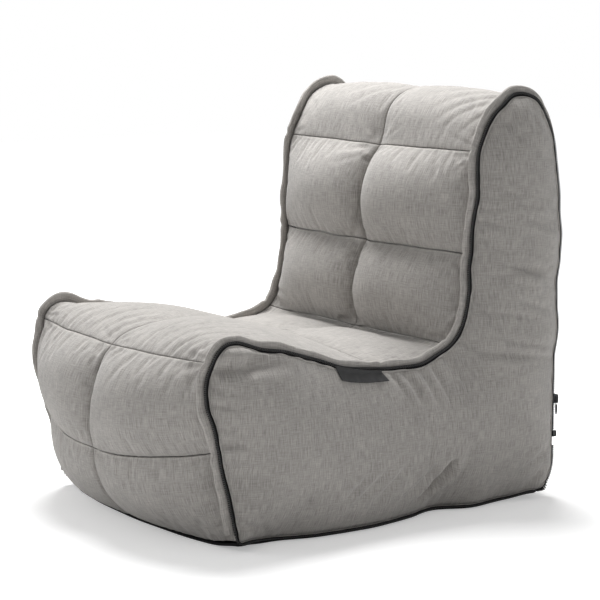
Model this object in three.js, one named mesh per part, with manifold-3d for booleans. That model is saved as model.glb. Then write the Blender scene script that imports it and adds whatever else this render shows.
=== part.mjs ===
// Bean bag lounge chair: a free-standing, high-backed cover filled with polystyrene beads.
// Lengths are in millimetres. +Z is up, the sitter faces -Y, and the sitter's left is +X.
// A quilted centre strip runs from the front hem over the seat and the back to the rear hem, between two
// L-shaped side panels. A padded welt stands along each edge of the strip. Beside it, round the whole side
// panel, runs one half of a joining zip, with which two such chairs are zipped side by side.
import * as THREE from "three";
import { mergeVertices } from "three/addons/utils/BufferGeometryUtils.js";
import Module from "manifold-3d";

const wasm = await Module();
wasm.setup();

// ---------------------------------------------------------------- driving dimensions

const gap = 0.3; // left between neighbouring pieces
const seamSpacing = 617; // between the middles of the two welts
const frontReach = 374; // of the side seams, from the middle of the seat to the front
const rearReach = 457; // and to the rear
const seatHeight = 381; // of the side seams, over the front of the seat
const backHeight = 798; // and at their top
const coverCloth = 2.5; // linen-look weave on its backing
const baseCloth = 3; // coated canvas under the chair
const linerCloth = 0.8;
const labelCloth = 1;

const weltThickness = 8;
const weltHeight = 17; // out of the seam
const seamAllowance = 3; // of the welt and the tapes, inside the seam

const sideBulge = 42; // of a side panel, out past its seam
const sideRise = 150; // from its edge to where a side panel reaches that bulge
const linerInset = 15; // of the liner, from the face of the cover
const fillingEase = 1.5; // of the filling inside the liner

const tapeThickness = 1.2;
const tapeWidth = 3.5; // out of the seam
const cordWidth = 1.8; // of the beaded edge that the teeth are moulded on
const cordThickness = 1.8;
const toothReach = 2.7; // past the cord
const toothThickness = 2.6;
const toothPitch = 3.5;

const zipRunInset = 17; // of the straight upright stretch of the joining zip, from the rear
const zipRunTop = 262;
const zipRunBottom = 84;
const sliderHeight = 195; // of the joining slider's middle, above the floor
const boxHeight = 125; // of the retainer box's middle
const chainEndHeight = 98; // where the chain comes back from under the chair

const sliderSize = {
  length: 18,
  halfWidth: 6.9,
  channelHalf: 5.8,
  channelHeight: 3.5,
  plate: 1.4,
  tapeSlot: 2,
  postHalf: 0.6,
};

const labelLength = 105;
const labelDrop = 28;
const labelMiddle = -32; // y

const baseZip = { y: 70, length: 400, tapeWidth: 14, tapeThickness: 0.6, mouthWidth: 18 };
const linerZip = { y: -90, length: 300, tapeWidth: 14, tapeThickness: 0.5, mouthWidth: 16 };

const stepLength = 60; // of the faceting along the seams
const stepsAcross = 4; // of the faceting across half the strip
const crownPower = 2.3; // how squarely a panel rises from its seams

// The cross seams of the centre strip, from the front hem over the top to the rear hem: [y, z] where each one
// meets the side seams and the centre seam.
const hemHeight = baseCloth + gap;
const frontY = (behind) => behind - frontReach;
const rearY = (before) => rearReach - before;
const seatZ = (below) => seatHeight - below;
const backZ = (below) => backHeight - below;
const zipRunDepth = rearY(zipRunInset);
const crossSeams = [
  { side: [frontY(74), hemHeight], middle: [frontY(50), hemHeight] }, // front hem
  { side: [frontY(26), 183], middle: [frontY(-38), 150] }, // lower front
  { side: [frontY(17), seatZ(27)], middle: [frontY(6), seatZ(41)] }, // seat edge
  { side: [26, seatZ(76)], middle: [-12, seatZ(43)] }, // mid seat
  { side: [rearY(270), seatZ(50)], middle: [rearY(265), seatZ(57)] }, // crease
  { side: [rearY(226), backZ(293)], middle: [rearY(235), backZ(303)] }, // mid back
  { side: [rearY(214), backZ(108)], middle: [rearY(204), backZ(116)] }, // upper back
  { side: [rearY(19), backZ(106)], middle: [rearY(11), backZ(110)] }, // rear shoulder
  { side: [rearY(0), backZ(305)], middle: [rearY(-6), backZ(305)] }, // mid rear
  { side: [rearY(8), 325], middle: [rearY(1), 320] }, // low rear
  { side: [rearY(45), hemHeight], middle: [rearY(33), hemHeight] }, // rear hem
];

// The rows of panels between them: the points that the side seam and the centre seam pass on the way, and how
// far the filling crowns the two panels of the row.
const rows = [
  { name: "front_lower", side: [[frontY(49), 85]], middle: [[frontY(-14), 72]], crown: 12 },
  { name: "front_upper", side: [[frontY(0), seatZ(109)]], middle: [[frontY(-34), seatZ(131)]], crown: 24 },
  {
    name: "seat_front",
    side: [[frontY(52), seatZ(0)], [frontY(145), seatZ(9)], [-104, seatZ(47)]],
    middle: [[frontY(58), seatZ(15)], [frontY(176), seatZ(3)], [-90, seatZ(27)]],
    crown: 12,
  },
  { name: "seat_rear", side: [[125, seatZ(72)]], middle: [[106, seatZ(53)]], crown: 10 },
  { name: "back_lower", side: [[rearY(237), seatZ(-9)]], middle: [[rearY(261), seatZ(-19)]], crown: 34 },
  { name: "back_middle", side: [[rearY(218), backZ(193)]], middle: [[rearY(235), backZ(208)]], crown: 38 },
  {
    name: "back_top",
    side: [[rearY(175), backZ(35)], [rearY(119), backZ(0)], [rearY(59), backZ(17)]],
    middle: [[rearY(172), backZ(43)], [rearY(117), backZ(16)], [rearY(52), backZ(36)]],
    crown: 16,
  },
  { name: "rear_upper", side: [[rearY(7), backZ(198)]], middle: [[rearY(-1), backZ(198)]], crown: 14 },
  { name: "rear_middle", side: [[rearY(3), seatZ(-29)]], middle: [[rearY(-7), seatZ(-24)]], crown: 14 },
  {
    name: "rear_lower",
    side: [
      [zipRunDepth, zipRunTop + 20],
      [zipRunDepth, zipRunTop],
      [zipRunDepth, zipRunBottom],
      [zipRunDepth, zipRunBottom - 16],
      [rearY(27), 34],
    ],
    middle: [[rearY(5), 230], [rearY(7), 120]],
    crown: 12,
  },
];

// The edge of the base along one side, from the rear to the front: [how far inside the seam, y].
const baseEdge = [
  [1, rearY(59)],
  [20, rearY(127)],
  [13, rearY(208)],
  [40, rearY(281)],
  [20, rearY(352)],
  [3, 10],
  [9, frontY(254)],
  [30, frontY(164)],
  [4, frontY(90)],
];
const baseSteps = 16;

// ---------------------------------------------------------------- derived sizes

const halfSeam = seamSpacing / 2;
const stripHalf = halfSeam - weltThickness / 2 - gap;
const tapeX = halfSeam + weltThickness / 2 + gap + tapeThickness / 2;
const tapeFloor = baseCloth + gap + tapeThickness / 2;
const cordStart = tapeWidth + gap;
const chainEdge = cordStart + cordWidth + toothReach;
const sliderTop = sliderSize.channelHeight / 2 + sliderSize.plate; // from the middle of the tape
const hemClear = 24; // the welts and the zips leave the upright seams this far above the hems
const edgePieceLength = 5; // along a side panel's edge
const cornerEase = 1; // extra room between the tape and the side panel round the lower corners
const clothOffset = tapeThickness / 2 + gap; // of a side panel's edge, from the middle of the tape

// ---------------------------------------------------------------- materials

function material(color, roughness, metalness) {
  return new THREE.MeshStandardMaterial({ color, roughness, metalness });
}

const weave = () => material(0x96928e, 0.95, 0);
const canvas = () => material(0x26272a, 0.9, 0);
const tapeCloth = () => material(0x1b1b1d, 0.85, 0);
const acetal = () => material(0x141416, 0.4, 0);
const lacqueredMetal = () => material(0x2b2b2d, 0.35, 0.7);
const lining = () => material(0xe8e6e1, 0.8, 0);
const beads = () => material(0xf6f6f4, 0.7, 0);

// ---------------------------------------------------------------- solids from points

const group = new THREE.Group();

function addNode(name, geometry, finish) {
  const mesh = new THREE.Mesh(geometry, finish);
  mesh.name = name;
  group.add(mesh);
}

function meshOf(points, faces) {
  const geometry = new THREE.BufferGeometry();
  const flat = points.flatMap((p) => [p.x, p.y, p.z]);
  geometry.setAttribute("position", new THREE.Float32BufferAttribute(flat, 3));
  geometry.setIndex(faces.flat());
  return geometry;
}

// The same solid on the other side of the chair.
function mirrored(geometry) {
  const other = geometry.clone();
  other.scale(-1, 1, 1);
  const index = other.index.array;
  for (let i = 0; i < index.length; i += 3) {
    const kept = index[i];
    index[i] = index[i + 1];
    index[i + 1] = kept;
  }
  return other;
}

function toSolid(geometry) {
  const bare = geometry.index ? geometry.toNonIndexed() : geometry.clone();
  bare.deleteAttribute("normal");
  bare.deleteAttribute("uv");
  const merged = mergeVertices(bare, 1e-4);
  const vertProperties = merged.attributes.position.array;
  const triVerts = new Uint32Array(merged.index.array);
  return new wasm.Manifold(new wasm.Mesh({ numProp: 3, vertProperties, triVerts }));
}

function toGeometry(solid) {
  const mesh = solid.getMesh();
  const geometry = new THREE.BufferGeometry();
  geometry.setAttribute("position", new THREE.BufferAttribute(mesh.vertProperties, 3));
  geometry.setIndex(new THREE.BufferAttribute(mesh.triVerts, 1));
  return geometry;
}

// A sheet of cloth with thickness: two grids of points, the outer one turning anticlockwise when it is seen
// from outside, joined round their edge.
function clothSolid(outer, inner) {
  const high = outer.length;
  const wide = outer[0].length;
  const points = [...outer.flat(), ...inner.flat()];
  const far = high * wide;
  const at = (j, i) => j * wide + i;
  const faces = [];
  for (let j = 0; j + 1 < high; j++) {
    for (let i = 0; i + 1 < wide; i++) {
      const [a, b, c, d] = [at(j, i), at(j, i + 1), at(j + 1, i + 1), at(j + 1, i)];
      faces.push([a, b, c], [a, c, d]);
      faces.push([far + a, far + c, far + b], [far + a, far + d, far + c]);
    }
  }
  const edge = [];
  for (let i = 0; i < wide - 1; i++) edge.push(at(0, i));
  for (let j = 0; j < high - 1; j++) edge.push(at(j, wide - 1));
  for (let i = wide - 1; i > 0; i--) edge.push(at(high - 1, i));
  for (let j = high - 1; j > 0; j--) edge.push(at(j, 0));
  edge.forEach((a, k) => {
    const b = edge[(k + 1) % edge.length];
    faces.push([b, a, far + a], [b, far + a, far + b]);
  });
  return meshOf(points, faces);
}

// A section of [out, over] points swept along rings that each hold a place, an outward and an over direction.
function sweep(rings, section, closed) {
  const size = section.length;
  const points = rings.flatMap(({ place, out, over }) =>
    section.map(([n, t]) => place.clone().addScaledVector(out, n).addScaledVector(over, t)),
  );
  const faces = [];
  const last = closed ? rings.length : rings.length - 1;
  for (let r = 0; r < last; r++) {
    const here = r * size;
    const next = ((r + 1) % rings.length) * size;
    for (let k = 0; k < size; k++) {
      const l = (k + 1) % size;
      faces.push([here + k, here + l, next + l], [here + k, next + l, next + k]);
    }
  }
  if (!closed) {
    const end = (rings.length - 1) * size;
    for (let k = 1; k + 1 < size; k++) {
      faces.push([0, k + 1, k], [end, end + k, end + k + 1]);
    }
  }
  return meshOf(points, faces);
}

// Two or more rings of points closed by a point at each end.
function ballSolid(rings, firstPole, lastPole) {
  const size = rings[0].length;
  const points = [...rings.flat(), firstPole, lastPole];
  const first = rings.length * size;
  const faces = [];
  for (let k = 0; k < size; k++) {
    const l = (k + 1) % size;
    for (let r = 0; r + 1 < rings.length; r++) {
      const here = r * size;
      const next = here + size;
      faces.push([here + k, next + k, next + l], [here + k, next + l, here + l]);
    }
    const end = (rings.length - 1) * size;
    faces.push([first, k, l], [first + 1, end + l, end + k]);
  }
  return meshOf(points, faces);
}

// ---------------------------------------------------------------- the seams

const divisions = 16; // of arc length between two points of a seam

function seamCurve(which) {
  const points = [];
  const stations = [];
  crossSeams.forEach((seam, k) => {
    stations.push(points.length);
    points.push(seam[which], ...(rows[k] ? rows[k][which] : []));
  });
  const places = points.map(([y, z]) => new THREE.Vector3(0, y, z));
  const curve = new THREE.CatmullRomCurve3(places, false, "centripetal");
  curve.arcLengthDivisions = (points.length - 1) * divisions;
  const lengths = curve.getLengths();
  const total = lengths[lengths.length - 1];
  const knots = points.map((_, k) => lengths[k * divisions] / total);
  return { curve, total, knots, at: stations.map((k) => knots[k]) };
}

const sideSeam = seamCurve("side");
const centreSeam = seamCurve("middle");

// The outward direction, square to a seam in its upright plane.
function outward(tangent) {
  return new THREE.Vector3(0, -tangent.z, tangent.y);
}

function onSeam(seam, row, v) {
  const u = THREE.MathUtils.lerp(seam.at[row], seam.at[row + 1], v);
  return { place: seam.curve.getPointAt(u), tangent: seam.curve.getTangentAt(u) };
}

function rowLength(row) {
  return (sideSeam.at[row + 1] - sideSeam.at[row]) * sideSeam.total;
}

// Where the facets of a row begin and end, from 0 to 1: at each point of the side seam, and evenly between.
function rowShares(row) {
  const [from, to] = [sideSeam.at[row], sideSeam.at[row + 1]];
  const knots = sideSeam.knots.filter((u) => u >= from && u <= to).map((u) => (u - from) / (to - from));
  return knots.slice(1).reduce(
    (shares, knot, k) => {
      const steps = Math.ceil(((knot - knots[k]) * rowLength(row)) / stepLength);
      for (let j = 1; j <= steps; j++) shares.push(THREE.MathUtils.lerp(knots[k], knot, j / steps));
      return shares;
    },
    [0],
  );
}

function swell(t) {
  return 1 - Math.abs(2 * t - 1) ** crownPower;
}

// A place on the outer face of the strip, and the direction out of it.
function stripFace(x, row, v) {
  const side = onSeam(sideSeam, row, v);
  const middle = onSeam(centreSeam, row, v);
  const across = Math.min(1, Math.abs(x) / stripHalf);
  const share = across ** 2;
  const place = middle.place.lerp(side.place, share);
  const out = outward(middle.tangent.lerp(side.tangent, share).normalize());
  place.addScaledVector(out, rows[row].crown * swell(across) * swell(v));
  place.x = x;
  return { place, out };
}

// ---------------------------------------------------------------- the centre strip

function stripPanel(row, side) {
  const inset = gap / 2 / rowLength(row);
  const near = gap / 2;
  const outer = [];
  const inner = [];
  rowShares(row).forEach((share) => {
    const v = THREE.MathUtils.lerp(inset, 1 - inset, share);
    const line = [];
    for (let i = 0; i <= stepsAcross; i++) {
      const across = side > 0 ? i / stepsAcross : 1 - i / stepsAcross;
      line.push(stripFace(side * THREE.MathUtils.lerp(near, stripHalf, across), row, v));
    }
    outer.push(line.map(({ place }) => place));
    inner.push(line.map(({ place, out }) => place.clone().addScaledVector(out, -coverCloth)));
  });
  return clothSolid(outer, inner);
}

rows.forEach((row, r) => {
  addNode(`${row.name}_panel_left`, stripPanel(r, 1), weave());
  addNode(`${row.name}_panel_right`, stripPanel(r, -1), weave());
});

// ---------------------------------------------------------------- the loop round a side panel

const lastRow = rows.length - 1;
const upperSamples = rows.flatMap((row, r) => rowShares(r).slice(0, -1).map((v) => ({ row: r, v })));
upperSamples[0].v = hemClear / rowLength(0);
upperSamples.push({ row: lastRow, v: 1 - hemClear / rowLength(lastRow) });

// A ring of the loop over the seams: its place, the direction out of the seam and the one over to the panel.
function seamRing(x, { row, v }) {
  const { place, tangent } = onSeam(sideSeam, row, v);
  place.x = x;
  return { place, out: outward(tangent), over: new THREE.Vector3(1, 0, 0) };
}

// Rings that lead the loop round a lower corner, from ring a to ring b by way of the corner itself.
function cornerRings(a, b, corner) {
  const bend = new THREE.QuadraticBezierCurve3(a.place, corner, b.place);
  return [0.15, 0.3, 0.4, 0.5, 0.6, 0.7, 0.85].map((share) => {
    const along = bend.getTangent(share);
    const out = a.out.clone().lerp(b.out, share).normalize();
    const over = along.clone().cross(out).normalize();
    return { place: bend.getPoint(share), out: over.clone().cross(along), over, ease: cornerEase };
  });
}

const basePath = new THREE.CatmullRomCurve3(
  baseEdge.map(([inset, y]) => new THREE.Vector3(tapeX - inset, y, tapeFloor)),
  false,
  "centripetal",
);

// The middle of the tape, up the front, over the top, down the rear and back under the side panel.
function loopRings() {
  const upper = upperSamples.map((sample) => seamRing(tapeX, sample));
  const under = Array.from({ length: baseSteps + 1 }, (_, k) => {
    const place = basePath.getPointAt(k / baseSteps);
    const tangent = basePath.getTangentAt(k / baseSteps);
    const out = new THREE.Vector3(-tangent.y, tangent.x, 0).normalize();
    return { place, out, over: new THREE.Vector3(0, 0, 1) };
  });
  const rear = upper[upper.length - 1];
  const front = upper[0];
  const rearFoot = new THREE.Vector3(rear.place.x, rear.place.y, tapeFloor);
  const frontFoot = new THREE.Vector3(front.place.x, front.place.y, tapeFloor);
  const rearCorner = cornerRings(rear, under[0], rearFoot);
  const frontCorner = cornerRings(under[baseSteps], front, frontFoot);
  return [...upper, ...rearCorner, ...under, ...frontCorner];
}

const loop = loopRings();

function rectangle(n0, n1, t0, t1) {
  return [[n0, t0], [n1, t0], [n1, t1], [n0, t1]];
}

// ---------------------------------------------------------------- the welts

// The head of the welt stands clear of the zip's slider, so it leans over the strip.
const weltHead = tapeX - halfSeam - sliderTop - gap - weltThickness / 2;
const weltSection = [
  [-seamAllowance, -weltThickness * 0.3],
  [weltHeight * 0.5, weltHead - weltThickness / 2],
  [weltHeight * 0.92, weltHead - weltThickness * 0.3],
  [weltHeight, weltHead + weltThickness * 0.1],
  [weltHeight * 0.55, weltHead + weltThickness / 2],
  [-seamAllowance, weltHead + weltThickness / 2],
];
const weltRings = upperSamples.map((sample) => seamRing(halfSeam, sample));
const welt = sweep(weltRings, weltSection, false);
addNode("welt_left", welt, weave());
addNode("welt_right", mirrored(welt), weave());

// ---------------------------------------------------------------- the joining zip

const tape = sweep(loop, rectangle(-seamAllowance, tapeWidth, -tapeThickness / 2, tapeThickness / 2), true);
addNode("joining_tape_left", tape, tapeCloth());
addNode("joining_tape_right", mirrored(tape), tapeCloth());

const boxSize = { width: 9, height: 12, thickness: 5.4, wall: 1.4 };
const stopHeight = 3.6;

// The beaded cord along the outer edge of the tape, from under the chair round to the retainer box.
function chainCord() {
  const upright = { out: new THREE.Vector3(0, 1, 0), over: new THREE.Vector3(1, 0, 0) };
  const cordRing = (z) => ({ place: new THREE.Vector3(tapeX, zipRunDepth, z), ...upright });
  const onRun = (height) => ({ place }) => place.y === zipRunDepth && Math.abs(place.z - height) < gap;
  const rear = loop.findIndex(onRun(zipRunBottom));
  const above = loop.findIndex(onRun(zipRunTop)) + 1;
  const route = [
    cordRing(chainEndHeight),
    ...loop.slice(rear),
    ...loop.slice(0, above),
    cordRing(boxHeight + boxSize.height / 2 + gap),
  ];
  const half = cordThickness / 2;
  return sweep(route, rectangle(cordStart, cordStart + cordWidth, -half, half), false);
}

function block(shape, depth) {
  return new THREE.ExtrudeGeometry(shape, { depth, bevelEnabled: false, curveSegments: 6 });
}

function outline(points) {
  return new THREE.Shape(points.map(([a, b]) => new THREE.Vector2(a, b)));
}

// Turns an outline drawn as (out of the seam, up) and thickened upwards to stand in the zip's plane.
function standInZipPlane(geometry, thickness) {
  const frame = new THREE.Matrix4().set(
    0, 0, 1, tapeX - thickness / 2,
    1, 0, 0, zipRunDepth,
    0, 1, 0, 0,
    0, 0, 0, 1,
  );
  return geometry.applyMatrix4(frame);
}

function tooth(z) {
  const root = cordStart + cordWidth * 0.3;
  const neck = toothPitch * 0.2;
  const head = toothPitch * 0.34;
  const shape = outline([
    [root, z - neck],
    [chainEdge, z - head],
    [chainEdge, z + head],
    [root, z + neck],
  ]);
  return standInZipPlane(block(shape, toothThickness), toothThickness);
}

function toothedChain() {
  const first = boxHeight + boxSize.height / 2 + gap + toothPitch;
  let solid = toSolid(chainCord());
  for (let z = first; z < zipRunTop; z += toothPitch) {
    solid = solid.add(toSolid(tooth(z)));
  }
  return toGeometry(solid);
}

const chain = toothedChain();
addNode("joining_chain_left", chain, acetal());
addNode("joining_chain_right", mirrored(chain), acetal());

// A moulded zip slider, drawn with its travel along its own +Y, its width along X and its upper face towards
// +Z: two plates joined by a post at the nose, with lips that leave a slot for the tape on each side.
function sliderSolid(size) {
  const { length, halfWidth, channelHalf, channelHeight, plate, tapeSlot, postHalf } = size;
  const nose = length / 2;
  const taper = (halfWidth - channelHalf) * 0.4;
  const shield = new THREE.Shape();
  shield.moveTo(-halfWidth + taper, -nose);
  shield.lineTo(halfWidth - taper, -nose);
  shield.lineTo(halfWidth, nose * 0.3);
  shield.quadraticCurveTo(halfWidth, nose * 0.85, halfWidth * 0.55, nose);
  shield.lineTo(-halfWidth * 0.55, nose);
  shield.quadraticCurveTo(-halfWidth, nose * 0.85, -halfWidth, nose * 0.3);
  shield.closePath();
  const total = channelHeight + 2 * plate;
  const body = toSolid(block(shield, total).translate(0, 0, -total / 2));
  const channel = new THREE.BoxGeometry(2 * channelHalf, 2 * length, channelHeight);
  const slot = new THREE.BoxGeometry(4 * halfWidth, 2 * length, tapeSlot);
  const post = outline([
    [-postHalf, nose - 0.6],
    [-postHalf, nose * 0.45],
    [0, nose * 0.25],
    [postHalf, nose * 0.45],
    [postHalf, nose - 0.6],
  ].reverse());
  const postSolid = toSolid(block(post, channelHeight + plate).translate(0, 0, -(channelHeight + plate) / 2));
  return body.subtract(toSolid(channel)).subtract(toSolid(slot)).add(postSolid);
}

const bridge = { low: -4.5, high: 5, rise: 3.4, width: 2.4, bar: 1.1 };
const pullBar = 0.75; // half the thickness of the pull's bar
const pullPivot = { along: bridge.low + bridge.bar + pullBar + 0.35, up: sliderTop + pullBar + 0.3 };

// The arch on the slider's upper face that carries the pull.
function bridgeSolid() {
  const { low, high, rise, width, bar } = bridge;
  const arch = new THREE.Shape();
  arch.moveTo(low, -sliderSize.plate / 2);
  arch.lineTo(high, -sliderSize.plate / 2);
  arch.lineTo(high, rise * 0.45);
  arch.quadraticCurveTo(high * 0.8, rise, high * 0.25, rise);
  arch.lineTo(low * 0.55, rise);
  arch.quadraticCurveTo(low, rise, low, rise * 0.6);
  arch.closePath();
  const window = new THREE.Path();
  window.moveTo(low + bar, 0);
  window.lineTo(low + bar, rise - bar);
  window.lineTo(high * 0.35, rise - bar);
  window.lineTo(high - bar * 1.6, 0);
  window.closePath();
  arch.holes.push(window);
  const frame = new THREE.Matrix4().set(
    0, 0, 1, -width / 2,
    1, 0, 0, 0,
    0, 1, 0, sliderTop,
    0, 0, 0, 1,
  );
  return toSolid(block(arch, width).applyMatrix4(frame));
}

// From the slider's own directions to the chair's: travel up, width out of the seam, upper face to the left.
const sliderOut = cordStart - gap + sliderSize.channelHalf;
const sliderFrame = new THREE.Matrix4().set(
  0, 0, 1, tapeX,
  1, 0, 0, zipRunDepth + sliderOut,
  0, 1, 0, sliderHeight,
  0, 0, 0, 1,
);
const slider = toGeometry(sliderSolid(sliderSize).add(bridgeSolid()));
addNode("joining_slider", slider.applyMatrix4(sliderFrame), lacqueredMetal());

// The pull: a flat tab whose bail goes through the bridge, hanging down the slider.
function pullTab() {
  const armLength = 9.2; // past the far end of the bridge when the tab is turned up
  const armWidth = 1.1;
  const armRoom = bridge.width / 2 + 0.35;
  const tabLength = 20;
  const tabHalf = 2.8;
  const shape = new THREE.Shape();
  const shoulder = -armLength + 1;
  const bailHalf = armRoom + armWidth;
  shape.moveTo(-bailHalf, pullBar);
  shape.lineTo(-bailHalf, shoulder);
  shape.lineTo(-tabHalf, shoulder - 2.5);
  shape.lineTo(-tabHalf * 0.8, -armLength - tabLength + 2);
  shape.quadraticCurveTo(0, -armLength - tabLength - 2, tabHalf * 0.8, -armLength - tabLength + 2);
  shape.lineTo(tabHalf, shoulder - 2.5);
  shape.lineTo(bailHalf, shoulder);
  shape.lineTo(bailHalf, pullBar);
  shape.closePath();
  const eye = outline([
    [-armRoom, -pullBar],
    [armRoom, -pullBar],
    [armRoom, -armLength],
    [-armRoom, -armLength],
  ]);
  const hole = new THREE.Path();
  hole.absarc(0, -armLength - tabLength + 3.8, 1.2, 0, 2 * Math.PI, true);
  shape.holes.push(eye, hole);
  return block(shape, 2 * pullBar).translate(0, pullPivot.along, pullPivot.up - pullBar);
}

addNode("joining_pull", pullTab().applyMatrix4(sliderFrame), lacqueredMetal());

// The retainer box at the chain's lower end, with its socket for the other chair's insertion pin.
function retainerBox() {
  const { width, height, thickness, wall } = boxSize;
  const inner = cordStart;
  const outer = cordStart + width;
  const low = boxHeight - height / 2;
  const high = boxHeight + height / 2;
  const corner = 1.6;
  const shape = outline([
    [inner, low],
    [outer - corner, low],
    [outer, low + corner],
    [outer, high],
    [inner, high],
  ]);
  const socketWidth = width - 2 * wall - cordWidth - toothReach + 1;
  const socket = new THREE.BoxGeometry(thickness - 2 * wall, socketWidth, height);
  socket.translate(tapeX, zipRunDepth + outer - wall - socketWidth / 2, boxHeight + height / 4);
  const body = toSolid(standInZipPlane(block(shape, thickness), thickness));
  return toGeometry(body.subtract(toSolid(socket)));
}

addNode("joining_box", retainerBox(), acetal());

// The other side carries the insertion pin in the box's place.
function insertionPin() {
  const width = 2.4;
  const low = boxHeight - boxSize.height / 2;
  const high = boxHeight + boxSize.height / 2;
  const shape = outline([
    [cordStart, low + 1.2],
    [cordStart + width * 0.5, low],
    [cordStart + width, low + 1.2],
    [cordStart + width, high],
    [cordStart, high],
  ]);
  return standInZipPlane(block(shape, toothThickness), toothThickness);
}

addNode("joining_pin", mirrored(toGeometry(toSolid(insertionPin()))), acetal());

// The stop that ends the chain where it comes back from under the chair.
function chainStop() {
  const low = chainEndHeight + gap;
  const shape = outline([
    [cordStart, low],
    [chainEdge - 1.2, low],
    [chainEdge - 0.4, low + stopHeight / 2],
    [chainEdge - 1.2, low + stopHeight],
    [cordStart, low + stopHeight],
  ]);
  return standInZipPlane(block(shape, toothThickness), toothThickness);
}

const stop = toGeometry(toSolid(chainStop()));
addNode("joining_stop_left", stop, acetal());
addNode("joining_stop_right", mirrored(stop), acetal());

// ---------------------------------------------------------------- the side panels

// Every point of the side seam is in straight view of this one.
const hub = new THREE.Vector3(tapeX, rearY(195), 185);
const ringShares = [1, 0.89, 0.68, 0.37];

function panelEdge({ place, over, ease = 0 }) {
  return place.clone().addScaledVector(over, clothOffset + ease);
}

const edgeLine = loop.map(panelEdge);

// Short pieces of the edge, each with its middle and its length.
const edgePieces = edgeLine.flatMap((a, k) => {
  const b = edgeLine[(k + 1) % edgeLine.length];
  const count = Math.ceil(a.distanceTo(b) / edgePieceLength);
  return Array.from({ length: count }, (_, j) => ({
    middle: a.clone().lerp(b, (j + 0.5) / count),
    length: a.distanceTo(b) / count,
  }));
});

// The distance from the edge, evened out across the panel: beside one straight edge it is the plain distance,
// and between two edges it has no ridge.
function edgeDistance(y, z) {
  const nearness = edgePieces.reduce(
    (sum, { middle, length }) => sum + length / Math.hypot(middle.y - y, middle.z - z) ** 4,
    0,
  );
  return ((2 / Math.PI) * nearness) ** (-1 / 3);
}

function sideSwell(distance) {
  return 1 - (1 - Math.min(1, distance / sideRise)) ** crownPower;
}

// A place on the inner face of a side panel: on the line from the hub to a place of its edge.
function sideFace(edge, share) {
  if (share === 1) return edge.clone();
  const y = THREE.MathUtils.lerp(hub.y, edge.y, share);
  const z = THREE.MathUtils.lerp(hub.z, edge.z, share);
  const flat = tapeX + clothOffset;
  const x = flat + (edge.x - flat) * share ** 3 + sideBulge * sideSwell(edgeDistance(y, z));
  return new THREE.Vector3(x, y, z);
}

function sidePanel() {
  const inner = ringShares.map((share) => edgeLine.map((edge) => sideFace(edge, share)));
  const middle = sideFace(edgeLine[0], 0);
  const lifted = (p) => new THREE.Vector3(p.x + coverCloth, p.y, p.z);
  const outer = inner.map((ring) => ring.map(lifted));
  return ballSolid([...inner.slice().reverse(), ...outer], middle, lifted(middle));
}

const sideSolid = sidePanel();
addNode("side_panel_left", sideSolid, weave());
addNode("side_panel_right", mirrored(sideSolid), weave());

// ---------------------------------------------------------------- the label tag

// A bare cloth tag sewn in under the seat's edge of the left side panel.
function labelTag() {
  const stepsAlong = 6;
  const stepsDown = 3;
  const clear = 1.4; // keeps the flat facets of the tag off those of the panel
  const outer = [];
  const inner = [];
  for (let j = 0; j <= stepsDown; j++) {
    const line = [];
    for (let i = 0; i <= stepsAlong; i++) {
      const y = labelMiddle + labelLength * (i / stepsAlong - 0.5);
      const top = seamHeight(y) - gap;
      const z = top - labelDrop * (1 - j / stepsDown);
      const x = sidePanelX(y, z) + clear;
      line.push(new THREE.Vector3(x, y, z));
    }
    inner.push(line);
    outer.push(line.map((p) => new THREE.Vector3(p.x + labelCloth, p.y, p.z)));
  }
  return clothSolid(outer, inner);
}

// The outer face of the left side panel at a given y and z.
function sidePanelX(y, z) {
  const ray = new THREE.Raycaster(new THREE.Vector3(seamSpacing * 2, y, z), new THREE.Vector3(-1, 0, 0));
  const [hit] = ray.intersectObject(new THREE.Mesh(sideSolid, weave()));
  return hit ? hit.point.x : tapeX + clothOffset + coverCloth;
}

// The height of the side panel's edge along the seat, at a given y.
function seamHeight(y) {
  const k = edgeLine.findIndex((a, i) => a.z > 200 && edgeLine[i + 1].y > y && a.y <= y);
  const [a, b] = [edgeLine[k], edgeLine[k + 1]];
  return THREE.MathUtils.lerp(a.z, b.z, (y - a.y) / (b.y - a.y));
}

addNode("label_tag", labelTag(), tapeCloth());

// ---------------------------------------------------------------- the base

// The mouth in a cloth that a straight zip closes.
function mouthPoints({ y, length, mouthWidth }) {
  const [x, half] = [length / 2 + gap, mouthWidth / 2];
  return [[-x, y - half], [-x, y + half], [x, y + half], [x, y - half]];
}

function hemPoints(row, v) {
  const places = [];
  for (let i = -stepsAcross; i <= stepsAcross; i++) {
    const { place } = stripFace((stripHalf * i) / stepsAcross, row, v);
    places.push([place.x, place.y]);
  }
  return places;
}

function basePanel() {
  const under = Array.from({ length: baseSteps + 1 }, (_, k) => basePath.getPointAt(k / baseSteps));
  const leftSide = under.reverse().map(({ x, y }) => [x, y]);
  const rightSide = leftSide.map(([x, y]) => [-x, y]).reverse();
  const rear = hemPoints(rows.length - 1, 1).reverse();
  const shape = outline([...hemPoints(0, 0), ...leftSide, ...rear, ...rightSide]);
  shape.holes.push(outline(mouthPoints(baseZip)));
  return block(shape, baseCloth);
}

addNode("base_panel", basePanel(), canvas());

// ---------------------------------------------------------------- the filler zips

// One half of a straight zip along X: a tape with its row of teeth, the middle of the zip at height z.
const fillerRow = { gap: 1.4, width: 1.8, thickness: 1.6 };

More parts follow.
